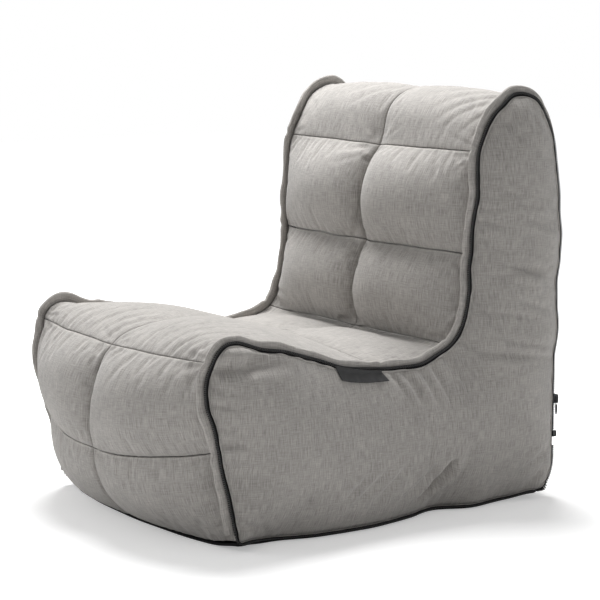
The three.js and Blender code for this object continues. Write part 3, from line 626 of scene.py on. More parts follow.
coverWeave = linenWeave("cover_weave", weaveLook)
zipCloth = plainFinish("zip_tape", (0.040, 0.040, 0.043), 0.85, grain=2600.0, grainDepth=0.00012, shine=0.15)
zipPlastic = plainFinish("zip_teeth", (0.034, 0.034, 0.037), 0.42, shine=0.35)
zipMetal = plainFinish("slider_metal", (0.19, 0.19, 0.198), 0.34, metallic=0.75, tone=0.18)
baseCanvas = plainFinish("base_canvas", (0.075, 0.076, 0.082), 0.9, grain=1600.0, grainDepth=0.00015,
                         shine=0.2)
liningCloth = plainFinish("liner_cloth", (0.91, 0.902, 0.882), 0.8, grain=1800.0, grainDepth=0.0001)
beadFoam = plainFinish("filling_beads", (0.965, 0.965, 0.957), 0.7, grain=260.0, grainDepth=0.0015)

print("materials ready")

# Camera, floor and light.

cameraView = {
    "lens": 122.0,  # mm on a 36 mm sensor
    "azimuth": 54.88,
    "elevation": 8.55,
    "distance": 4.00,
    "target": (0.0, 0.0326, 0.386),
}
lighting = {
    "overhead": 137.0,
    "overheadSize": 1.9,
    "lampSize": 2.0,  # of the other two
    "front": 28.0,
    "side": 10.0,
    "fill": 0.36,
    "floor": (0.82, 0.82, 0.82, 1),
    "floorGlow": 0.36,
    "farGlow": 0.80,  # of the floor away from the chair
    "glowFrom": 0.50,
    "glowTo": 1.15,
}


def placeCamera(view):
    azimuth, elevation = math.radians(view["azimuth"]), math.radians(view["elevation"])
    ahead = Vector((-math.sin(azimuth) * math.cos(elevation), math.cos(azimuth) * math.cos(elevation),
                    -math.sin(elevation)))
    lens = bpy.data.cameras.new("camera")
    lens.lens = view["lens"]
    lens.sensor_width = 36
    camera = placed("camera", lens)
    camera.location = Vector(view["target"]) - ahead * view["distance"]
    camera.rotation_euler = ahead.to_track_quat("-Z", "Y").to_euler()
    bpy.context.scene.camera = camera


def addLamp(name, place, aim, power, size):
    lamp = bpy.data.lights.new(name, "AREA")
    lamp.energy = power
    lamp.size = size
    lamp.shape = "DISK"
    stand = placed(name, lamp)
    stand.location = place
    stand.rotation_euler = (Vector(aim) - Vector(place)).to_track_quat("-Z", "Y").to_euler()


def seenRays(tree):
    # 1 for rays from the camera, and for those that metal or glass sends on.
    path = addNode(tree, "LightPath").outputs
    seen = addNode(tree, "Math", {0: path["Is Camera Ray"], 1: path["Is Glossy Ray"]}, operation="ADD")
    return addNode(tree, "Math", {0: seen.outputs[0], 1: path["Is Transmission Ray"]}, operation="ADD",
                   use_clamp=True).outputs[0]


def lightStudio(light):
    addLamp("overhead", (-0.9, 0.5, 3.0), (0, 0.05, 0.2), light["overhead"], light["overheadSize"])
    addLamp("front", (-1.7, -3.2, 1.9), (0, 0, 0.4), light["front"], light["lampSize"])
    addLamp("side", (3.3, 1.9, 1.2), (0, 0.1, 0.2), light["side"], light["lampSize"])
    world = bpy.data.worlds.new("studio")
    world.use_nodes = True
    bpy.context.scene.world = world
    tree = world.node_tree
    tree.nodes.clear()
    strength = addNode(tree, "MapRange", {"Value": seenRays(tree), "To Min": light["fill"], "To Max": 1.0})
    sky = addNode(tree, "Background", {"Color": (1, 1, 1, 1), "Strength": strength.outputs["Result"]})
    addNode(tree, "OutputWorld", {"Surface": sky.outputs["Background"]})


def layFloor(light):
    paint = bpy.data.materials.new("floor")
    paint.use_nodes = True
    tree = paint.node_tree
    tree.nodes.clear()
    place = addNode(tree, "TexCoord").outputs["Object"]
    away = addNode(tree, "VectorMath", {0: place}, operation="LENGTH").outputs["Value"]
    spread = {"Value": away, "From Min": light["glowFrom"], "From Max": light["glowTo"],
              "To Min": light["floorGlow"], "To Max": light["farGlow"]}
    ring = addNode(tree, "MapRange", spread, interpolation_type="SMOOTHSTEP").outputs["Result"]
    level = addNode(tree, "Math", {0: seenRays(tree), 1: ring}, operation="MULTIPLY").outputs[0]
    diffuse = addNode(tree, "BsdfDiffuse", {"Color": light["floor"]}).outputs[0]
    glow = addNode(tree, "Emission", {"Strength": level}).outputs[0]
    addNode(tree, "OutputMaterial", {"Surface": addNode(tree, "AddShader", {0: diffuse, 1: glow}).outputs[0]})
    corners = [(-9, -9, 0), (9, -9, 0), (9, 9, 0), (-9, 9, 0)]
    newPiece("floor", corners, [(0, 1, 2, 3)], paint, smooth=False)


placeCamera(cameraView)
lightStudio(lighting)
layFloor(lighting)
bpy.context.scene.view_settings.view_transform = "Standard"
print("camera, floor and light ready")

# The quilted centre strip: one cloth grid, blown up between its seams and then cut into its twenty panels.

stripCloth = {
    "cell": 0.0092,
    "seamWander": 0.0016,
    "wanderCells": 2.5,  # how far from a seam the cloth goes with it
    "cap": 0.030,
    "detail": 3,  # fine steps in each cell
    "edgeSteps": (0.0009, 0.0018),  # two more rows of points beside each seam
    "slant": 0.35,  # of the puckers
    "roll": 0.0030,  # how far in from a seam the edge of a panel turns down
    "lip": 0.0055,
}
stripSim = {
    "quality": 5,
    "mass": 0.3,
    "damping": 3.0,
    "stretch": 14.0,
    "shear": 4.0,
    "bending": 0.3,
    "ease": 0.026,
    "pressure": 60.0,
    "frames": 26,
}
# For each row: puckers along its lower, upper, centre and side edges, as (height, spacing, reach).
rowGathers = {
    "front_lower": {"lower": (0.0020, 0.022, 0.022), "upper": (0.0012, 0.014, 0.012),
                    "centre": (0.0010, 0.016, 0.012), "side": (0.0014, 0.015, 0.014)},
    "front_upper": {"lower": (0.0012, 0.014, 0.012), "upper": (0.0029, 0.0085, 0.018),
                    "centre": (0.0010, 0.016, 0.012), "side": (0.0014, 0.014, 0.014)},
    "seat_front": {"lower": (0.0029, 0.0085, 0.020), "upper": (0.0010, 0.015, 0.012),
                   "centre": (0.0012, 0.015, 0.013), "side": (0.0015, 0.013, 0.015)},
    "seat_rear": {"lower": (0.0010, 0.015, 0.012), "upper": (0.0005, 0.014, 0.012),
                  "centre": (0.0010, 0.015, 0.012), "side": (0.0015, 0.013, 0.014)},
    "back_lower": {"lower": (0.0005, 0.013, 0.012), "upper": (0.0006, 0.014, 0.012),
                   "centre": (0.0008, 0.016, 0.012), "side": (0.0013, 0.014, 0.014)},
    "back_middle": {"lower": (0.0006, 0.014, 0.012), "upper": (0.0006, 0.014, 0.012),
                    "centre": (0.0008, 0.016, 0.012), "side": (0.0013, 0.014, 0.014)},
    "back_top": {"lower": (0.0007, 0.013, 0.012), "upper": (0.0012, 0.014, 0.012),
                 "centre": (0.0012, 0.014, 0.013), "side": (0.0024, 0.011, 0.020)},
}
plainGathers = {"lower": (0.0012, 0.014, 0.012), "upper": (0.0012, 0.014, 0.012),
                "centre": (0.0010, 0.015, 0.012), "side": (0.0015, 0.013, 0.015)}

# Folds on the panels: the places that a fold comes from, passes over and goes to, each as its share of
# the way from the centre to the side seam and from the lower to the upper seam, then its depth and half
# its width.
stripFolds = {
    "seat_front_left": [
        (0.3, 0, 0.27, 0.2, 0.34, 0.42, 0.0022, 0.006), (0.42, 0, 0.42, 0.26, 0.52, 0.55, 0.003, 0.0065),
        (0.53, 0, 0.54, 0.22, 0.66, 0.5, 0.0026, 0.006), (0.63, 0, 0.66, 0.2, 0.8, 0.44, 0.003, 0.006),
        (0.72, 0, 0.76, 0.16, 0.9, 0.34, 0.0026, 0.0055), (0.81, 0, 0.86, 0.12, 0.96, 0.24, 0.0024, 0.005),
        (0.9, 0, 0.94, 0.08, 0.99, 0.16, 0.002, 0.0045), (0.14, 0, 0.11, 0.14, 0.1, 0.3, 0.0018, 0.0055),
        (0.04, 0.96, 0.2, 0.9, 0.36, 0.94, 0.0022, 0.006), (0.03, 0.9, 0.14, 0.8, 0.26, 0.74, 0.0018, 0.0055),
    ],
    "seat_front_right": [
        (0.1, 0, 0.08, 0.18, 0.03, 0.36, 0.0024, 0.0065), (0.22, 0, 0.18, 0.2, 0.1, 0.42, 0.0024, 0.006),
        (0.36, 0, 0.3, 0.22, 0.22, 0.44, 0.0026, 0.0065), (0.5, 0, 0.46, 0.18, 0.38, 0.36, 0.0024, 0.006),
        (0.62, 0, 0.6, 0.16, 0.54, 0.34, 0.0024, 0.0055), (0.74, 0, 0.74, 0.14, 0.7, 0.3, 0.0022, 0.005),
        (0.85, 0, 0.86, 0.12, 0.85, 0.26, 0.0022, 0.005), (0.94, 0, 0.95, 0.08, 0.96, 0.2, 0.0018, 0.0045),
        (0.04, 0.97, 0.16, 0.92, 0.3, 0.97, 0.0022, 0.006),
        (0.04, 0.9, 0.12, 0.82, 0.24, 0.8, 0.0018, 0.0055),
    ],
    "seat_rear_left": [
        (0.03, 0.05, 0.12, 0.18, 0.24, 0.22, 0.0026, 0.0055),
        (0.03, 0.1, 0.08, 0.28, 0.16, 0.44, 0.002, 0.005), (0.3, 0.98, 0.42, 0.8, 0.6, 0.72, 0.0016, 0.007),
    ],
    "seat_rear_right": [
        (0.03, 0.05, 0.12, 0.14, 0.22, 0.16, 0.0026, 0.0055),
        (0.03, 0.1, 0.08, 0.26, 0.18, 0.36, 0.0022, 0.005), (0.4, 0.98, 0.52, 0.82, 0.7, 0.78, 0.0016, 0.007),
    ],
    "front_upper_left": [
        (0.33, 1, 0.3, 0.8, 0.24, 0.58, 0.002, 0.007), (0.06, 1, 0.04, 0.86, 0.03, 0.7, 0.0018, 0.0055),
        (0.16, 1, 0.13, 0.88, 0.11, 0.78, 0.0018, 0.005), (0.55, 1, 0.53, 0.88, 0.5, 0.76, 0.0014, 0.0055),
        (0.97, 0.62, 0.88, 0.6, 0.8, 0.62, 0.0018, 0.005), (0.97, 0.36, 0.9, 0.33, 0.82, 0.34, 0.0014, 0.005),
    ],
    "front_upper_right": [
        (0.08, 1, 0.06, 0.84, 0.05, 0.68, 0.002, 0.0055), (0.22, 1, 0.2, 0.88, 0.17, 0.76, 0.0016, 0.0055),
        (0.4, 1, 0.39, 0.88, 0.36, 0.78, 0.0014, 0.0055), (0.58, 1, 0.58, 0.86, 0.56, 0.74, 0.0016, 0.0055),
        (0.76, 1, 0.77, 0.86, 0.76, 0.72, 0.0016, 0.005), (0.9, 1, 0.91, 0.88, 0.92, 0.76, 0.0014, 0.005),
    ],
    "back_top_left": [
        (0.99, 0.4, 0.82, 0.3, 0.62, 0.12, 0.0026, 0.0065),
        (0.99, 0.48, 0.78, 0.36, 0.52, 0.16, 0.003, 0.007),
        (0.98, 0.56, 0.72, 0.43, 0.42, 0.22, 0.003, 0.0075),
        (0.97, 0.64, 0.66, 0.5, 0.36, 0.34, 0.0026, 0.0075),
        (0.8, 0.66, 0.52, 0.54, 0.24, 0.38, 0.0022, 0.0075), (0.62, 0.7, 0.38, 0.6, 0.14, 0.48, 0.002, 0.007),
        (0.99, 0.3, 0.9, 0.22, 0.8, 0.1, 0.0022, 0.0055), (0.98, 0.76, 0.8, 0.72, 0.62, 0.74, 0.002, 0.007),
        (0.99, 0.2, 0.95, 0.14, 0.9, 0.05, 0.0018, 0.0045),
    ],
    "back_top_right": [
        (0.04, 0.46, 0.22, 0.34, 0.44, 0.22, 0.0026, 0.007),
        (0.08, 0.56, 0.3, 0.44, 0.56, 0.28, 0.0026, 0.0075),
        (0.2, 0.62, 0.44, 0.5, 0.7, 0.34, 0.0024, 0.0075), (0.4, 0.66, 0.62, 0.54, 0.84, 0.4, 0.0022, 0.007),
        (0.99, 0.52, 0.86, 0.6, 0.74, 0.64, 0.0032, 0.0055),
        (0.99, 0.42, 0.84, 0.46, 0.68, 0.44, 0.0024, 0.006), (0.99, 0.3, 0.9, 0.28, 0.8, 0.2, 0.002, 0.0055),
    ],
    "back_middle_left": [
        (0.04, 0.98, 0.12, 0.88, 0.2, 0.74, 0.0016, 0.006),
        (0.98, 0.1, 0.88, 0.14, 0.78, 0.12, 0.0014, 0.006),
        (0.04, 0.03, 0.14, 0.1, 0.28, 0.12, 0.0018, 0.006),
        (0.99, 0.92, 0.9, 0.84, 0.84, 0.72, 0.0014, 0.0055),
    ],
    "back_middle_right": [
        (0.04, 0.96, 0.18, 0.88, 0.36, 0.86, 0.0022, 0.006),
        (0.05, 0.86, 0.16, 0.76, 0.3, 0.7, 0.0018, 0.006), (0.04, 0.04, 0.16, 0.12, 0.3, 0.16, 0.0018, 0.006),
        (0.98, 0.5, 0.88, 0.46, 0.8, 0.48, 0.0014, 0.006),
    ],
    "back_lower_left": [
        (0.03, 0.95, 0.12, 0.84, 0.24, 0.78, 0.0018, 0.006), (0.99, 0.48, 0.9, 0.46, 0.8, 0.5, 0.0022, 0.005),
        (0.99, 0.4, 0.88, 0.36, 0.76, 0.38, 0.002, 0.005), (0.99, 0.3, 0.86, 0.24, 0.7, 0.26, 0.002, 0.0055),
        (0.2, 0.08, 0.34, 0.14, 0.5, 0.12, 0.0016, 0.0055), (0.04, 0.3, 0.14, 0.32, 0.24, 0.3, 0.0014, 0.005),
    ],
    "back_lower_right": [
        (0.03, 0.94, 0.14, 0.82, 0.26, 0.74, 0.0018, 0.006),
        (0.1, 0.06, 0.26, 0.12, 0.42, 0.1, 0.0018, 0.0055),
        (0.99, 0.2, 0.86, 0.22, 0.74, 0.18, 0.0018, 0.0055),
        (0.99, 0.6, 0.9, 0.58, 0.8, 0.62, 0.0016, 0.0055),
    ],
}


def foldLift(u, v, wide, long, folds):
    # The valleys of the folds at each point of a panel, which is so wide and so long.
    places = np.stack([u * wide, v * long], -1).reshape(-1, 2)
    lift = np.zeros(len(places))
    for *line, depth, half in folds:
        lift += creaseShape(places, np.array(line).reshape(3, 2) * [wide, long], depth, half)
    return lift.reshape(u.shape)


def pullFolds(seed):
    # Short folds where the seams pull at a panel's corners.
    random = np.random.default_rng(seed)
    folds = []
    for cornerU in (0.0, 1.0):
        for cornerV in (0.0, 1.0):
            inU, inV = 1 - 2 * cornerU, 1 - 2 * cornerV
            for _ in range(3):
                turn = random.uniform(0.15, 1.35)
                far = random.uniform(0.16, 0.36)
                stepU, stepV = math.cos(turn) * far, math.sin(turn) * far
                folds.append((cornerU + inU * 0.03, cornerV + inV * 0.03,
                              cornerU + inU * stepU * 0.55, cornerV + inV * stepV * 0.45,
                              cornerU + inU * stepU, cornerV + inV * stepV,
                              random.uniform(0.0010, 0.0022), random.uniform(0.005, 0.008)))
    return folds


def creaseShape(places, line, depth, half):
    # A valley along a bent line, with a soft ridge on each side, fading at both ends.
    start, over, end = line
    t = np.linspace(0, 1, 40)[:, None]
    line = start * (1 - t) ** 2 + 2 * over * t * (1 - t) + end * t**2
    a, ab = line[:-1], np.diff(line, axis=0)
    lift = np.zeros(len(places))
    close = np.flatnonzero(((places > line.min(0) - 5 * half) & (places < line.max(0) + 5 * half)).all(1))
    if not len(close):
        return lift
    p = places[close]
    share = np.clip(((p[:, None] - a) * ab).sum(2) / (ab**2).sum(1), 0, 1)
    off = p[:, None] - (a + share[..., None] * ab)
    away = np.linalg.norm(off, axis=2)
    nearest = away.argmin(1)
    here = np.arange(len(close)), nearest
    sign = np.sign(off[here][:, 0] * ab[nearest, 1] - off[here][:, 1] * ab[nearest, 0])
    lane = sign * away[here] / half
    along = (nearest + share[here]) / len(a)
    fade = np.sin(np.pi * np.clip(along, 0.0, 1.0) ** 0.75) ** 0.8
    ridges = 0.45 * np.exp(-((lane - 1.7) / 1.1) ** 2) + 0.2 * np.exp(-((lane + 2.0) / 1.3) ** 2)
    lift[close] = -depth * fade * (np.exp(-np.abs(lane) ** 1.3) - ridges)
    return lift


def stripGrid(look):
    columns = 2 * int(round(stripHalf / look["cell"]))
    x = np.linspace(-stripHalf, stripHalf, columns + 1)
    lines, starts, runs = [], [0], []
    for r in range(len(rows)):
        length = sideAt[r + 1] - sideAt[r]
        steps = max(6, int(round(length / look["cell"])))
        v = np.linspace(0, 1, steps + 1)[1 if r else 0:, None]
        lines.append(stripFace(x[None, :], r, v)[0])
        runs.append(sideAt[r] + length * v[:, 0])
        starts.append(starts[-1] + steps)
    return x, np.concatenate(runs), np.concatenate(lines), starts


def sewSeams(places, starts, look):
    # Seams wander a little across their line, the side seams waver, and the hems stand on the base's.
    high, wide = places.shape[:2]
    normals = gridNormals(places)
    over = unit(np.gradient(places, axis=1))
    along = unit(np.gradient(places, axis=0))
    shift = np.zeros((high, wide, 3))
    u = np.linspace(0, 1, wide)
    for k, j in enumerate(starts[1:-1]):
        swing = look["seamWander"] * waver(u * 0.6, 0.055, 40 + k) * np.sin(np.pi * u) ** 0.3
        fall = np.exp(-((np.arange(high) - j) / look["wanderCells"]) ** 2)[:, None]
        shift += along * (fall * swing[None, :])[..., None]
    swing = look["seamWander"] * waver(np.arange(high) * look["cell"], 0.06, 71)
    fall = np.exp(-((np.arange(wide) - wide // 2) / look["wanderCells"]) ** 2)[None, :]
    shift += over * (fall * swing[:, None])[..., None]
    shift[:, 0] = shift[:, -1] = 0
    shift[0] = shift[-1] = 0
    out, side = seamWaver(gridRun)
    x = np.linspace(-stripHalf, stripHalf, wide)
    for edge, turn in ((0, -1), (wide - 1, 1)):
        away = np.abs(x - turn * stripHalf)
        near = np.exp(-(away / seamWaves["reach"]) ** 2)[None, :]
        shift += near[..., None] * (normals[:, edge, None] * out[:, None, None]
                                    + np.array([turn, 0, 0]) * side[:, None, None])
    atSide = np.exp(-((stripHalf - np.abs(x)) / footLook["into"]) ** 2)[None, :]
    shift[..., 2] += footRise(gridRun[:, None], gridRun[-1] - gridRun[:, None], atSide)
    return places + shift


gridX, gridRun, stripBase, rowStarts = stripGrid(stripCloth)
stripBase = sewSeams(stripBase, rowStarts, stripCloth)
gridHigh, gridWide = stripBase.shape[:2]
middleColumn = gridWide // 2
held = np.zeros((gridHigh, gridWide), bool)
held[rowStarts, :] = True
held[:, [0, middleColumn, gridWide - 1]] = True
print("blowing up the strip:", gridHigh, "by", gridWide)
stripShape = blowUp(stripBase.reshape(-1, 3), gridFaces(gridHigh, gridWide), held.ravel(), stripSim,
                    stripCloth["cap"])
stripShape = stripShape.reshape(stripBase.shape)
for r, row in enumerate(rows):
    part = slice(rowStarts[r], rowStarts[r + 1])
    share = np.full(rowStarts[r + 1] - rowStarts[r], row["puff"])
    if row["name"] == "seat_rear":
        share *= np.clip((len(share) - np.arange(len(share))) / 7, 0, 1)  # it goes flat into the crease
    stripShape[part] = stripBase[part] + (stripShape[part] - stripBase[part]) * share[:, None, None]


def fineSteps(count, look):
    near = np.array(look["edgeSteps"]) / look["cell"]
    inner = np.arange(1, (count - 1) * look["detail"]) / look["detail"]
    return np.concatenate([[0], near, inner, count - 1 - near[::-1], [count - 1]])


def rollEdge(distance, roll):
    short = np.clip(1 - distance / roll, 0, 1)
    return roll * (1 - np.sqrt(np.maximum(0, 1 - short**2))) * 0.8


def stripPanel(r, side):
    row, look = rows[r], stripCloth
    name = f"{row['name']}_{sideWord(side)}"
    lines = slice(rowStarts[r], rowStarts[r + 1] + 1)
    columns = slice(middleColumn, gridWide) if side > 0 else slice(0, middleColumn + 1)
    patch = stripShape[lines, columns]
    downAt, overAt = (fineSteps(count, look) for count in patch.shape[:2])
    down, over = sampleMatrix(patch.shape[0], downAt), sampleMatrix(patch.shape[1], overAt)
    places = np.einsum("ja,abk,ib->jik", down, patch, over)
    normals = gridNormals(places)
    x = np.interp(overAt, np.arange(patch.shape[1]), gridX[columns])
    run = np.interp(downAt, np.arange(patch.shape[0]), gridRun[lines])
    fromLower, fromUpper = (run - run[0])[:, None], (run[-1] - run)[:, None]
    fromCentre, fromSide = np.abs(x)[None, :], (stripHalf - np.abs(x))[None, :]
    nearest = np.minimum(np.minimum(fromLower, fromUpper), np.minimum(fromCentre, fromSide))
    seed = 1000 + 10 * r + (5 if side > 0 else 0)
    lift = np.zeros(places.shape[:2])
    for edge, distance, line in (("lower", fromLower, x[None, :]), ("upper", fromUpper, x[None, :]),
                                 ("centre", fromCentre, run[:, None]), ("side", fromSide, run[:, None])):
        height, spacing, reach = rowGathers.get(row["name"], plainGathers)[edge]
        leaning = line + look["slant"] * distance * (1 if edge in ("lower", "centre") else -1)
        table = np.linspace(leaning.min(), leaning.max(), 3000)
        puckers = np.interp(leaning, table, gatherLine(table, spacing, seed))
        depth = np.interp(leaning, table, 0.65 + 0.35 * waver(table, spacing * 1.7, seed + 2))
        lift += height * puckers * np.exp(-distance / (reach * depth)) * (1 - np.exp(-distance / 0.0015))
        seed += 31
    u, v = np.broadcast_arrays(np.abs(x)[None, :] / stripHalf, ((run - run[0]) / (run[-1] - run[0]))[:, None])
    folds = foldLift(u, v, stripHalf, run[-1] - run[0], stripFolds.get(name, []) + pullFolds(2000 + seed))
    lift += folds * np.minimum(1, nearest / 0.003) * row.get("foldDepth", 1.0)
    lift -= rollEdge(nearest, look["roll"])
    places = places + normals * lift[..., None]
    index = np.arange(lift.size).reshape(lift.shape)
    rim = np.concatenate([index[0], index[1:, -1], index[-1, -2::-1], index[-2:0:-1, 0]])
    places, normals = places.reshape(-1, 3), normals.reshape(-1, 3)
    lip = lift.size + np.arange(len(rim))
    lipFaces = np.stack([rim, lip, np.roll(lip, -1), np.roll(rim, -1)], 1)
    points = np.concatenate([places, places[rim] - normals[rim] * look["lip"]])
    piece = newPiece(name, points, np.concatenate([gridFaces(*lift.shape), lipFaces]), coverWeave)
    uv = threadGrid(x, run)
    weaveUv(piece, np.concatenate([uv, uv[rim] + look["lip"]]))
    # Painted shade: the panel darkens towards every seam and, on the seat's rear row and the back's lowest
    # row, into the crease between seat and back; the lips that turn down into the seams are darkest. A paler
    # line runs 3 mm under the upper seam, where the edge folds over.
    paintedSeamShade = np.exp(-nearest / 0.004)
    foldedEdge = 1.1 * np.exp(-((fromUpper - 0.0030) / 0.0014) ** 2) * (fromSide > 0.006)
    if row["name"] in ("seat_rear", "back_lower"):
        paintedSeamShade = paintedSeamShade + 1.2 * np.exp(-(fromUpper if row["name"] == "seat_rear" else fromLower) / 0.008)
    shadeBy(piece, np.concatenate([(foldedEdge - 0.8 * paintedSeamShade).ravel(), np.full(len(rim), -1.0)]))
    standsFor(piece, f"{row['name']}_panel_{sideWord(side)}")


for r in range(len(rows)):
    stripPanel(r, 1)
    stripPanel(r, -1)
print("strip panels ready")

# The loop round a side panel: up the front, over the top, down the rear and back under the chair.

def seamFrame(distance, x):
    place = onCurve(sideCurve, distance)
    tangent = tangentOf(sideCurve, distance)
    flat = np.zeros(len(distance))
    out, over = seamWaver(distance)
    away = np.column_stack([flat, -tangent[:, 1], tangent[:, 0]])
    place = place + np.column_stack([flat, footRise(distance, sideCurve["length"] - distance)])
    return (np.column_stack([x + over, place]) + away * out[:, None], away,
            np.tile([1.0, 0.0, 0.0], (len(distance), 1)))


def bendRound(start, end, corner, count):
    # Leads the loop round a lower corner from one place to the next.
    (a, aOut), (b, bOut) = start, end
    share = np.linspace(0, 1, count + 2)[1:-1, None]
    place = a * (1 - share) ** 2 + 2 * corner * share * (1 - share) + b * share**2
    along = unit((corner - a) * (1 - share) + (b - corner) * share)
    over = unit(np.cross(along, unit(aOut * (1 - share) + bOut * share)))
    return place, np.cross(over, along), over


basePath = smoothCurve([(tapeX - inset, y) for inset, y in baseEdge])


def underFrame(distance):
    look = footLook
    place = onCurve(basePath, distance)
    tangent = tangentOf(basePath, distance)
    flat = np.zeros(len(distance))
    ends = basePath["length"] - distance, distance
    fall = look["edge"] * np.exp(-np.minimum(*ends) / look["edgeReach"])
    z = tapeFloor + look["edge"] + footRise(*ends) - fall
    return (np.column_stack([place, z]), np.column_stack([-tangent[:, 1], tangent[:, 0], flat]),
            np.tile([0.0, 0.0, 1.0], (len(distance), 1)))


def sideLoop(spacing):
    low, high = chair["hemClear"], sideCurve["length"] - chair["hemClear"]
    upper = seamFrame(np.linspace(low, high, int((high - low) / spacing)), tapeX)
    under = underFrame(np.linspace(0, basePath["length"], int(basePath["length"] / spacing)))
    footZ = tapeFloor + footLook["edge"] + footLook["corner"]
    frontFoot = np.array([tapeX, upper[0][0, 1], footZ])
    rearFoot = np.array([tapeX, upper[0][-1, 1], footZ])
    count = int(0.04 / spacing)
    rear = bendRound((upper[0][-1], upper[1][-1]), (under[0][0], under[1][0]), rearFoot, count)
    front = bendRound((under[0][-1], under[1][-1]), (upper[0][0], upper[1][0]), frontFoot, count)
    place, out, over = (np.concatenate(parts) for parts in zip(upper, rear, under, front))
    step = np.linalg.norm(np.roll(place, -1, 0) - place, axis=1)
    return {"place": place, "out": out, "over": over, "run": np.concatenate([[0], np.cumsum(step)[:-1]]),
            "length": step.sum()}


def onLoop(loop, distance):
    # The frame of the loop at any distances along it, going on past its start.
    distance = np.asarray(distance, float) % loop["length"]
    run = np.append(loop["run"], loop["length"])
    place, out, over = (onLine(np.vstack([loop[key], loop[key][:1]]), run, distance)
                        for key in ("place", "out", "over"))
    return place, unit(out), unit(over)


loop = sideLoop(0.003)
print("side loop", round(loop["length"], 3), "m")


# The side panels: a net over the whole L, held at its edge and blown up, then creased.

sideLook = {
    "cell": 0.0074,
    "bulge": 0.040,
    "rise": 0.160,
    "cap": 0.020,
    "creaseDepth": 2.2,
    "gatherHeight": 0.0022,
    "gatherSpacing": 0.012,
    "gatherReach": 0.017,
    "wideGathers": 1.2,  # the same again, longer and further apart
    "wideSpacing": 3.1,
    "wideReach": 0.045,
    "slant": 0.4,
    "roll": 0.0025,
    "lip": 0.006,
}
sideSim = {
    "quality": 5,
    "mass": 0.3,
    "damping": 3.0,
    "stretch": 14.0,
    "shear": 4.0,
    "bending": 0.5,
    "ease": 0.016,
    "pressure": 30.0,
    "frames": 24,
}
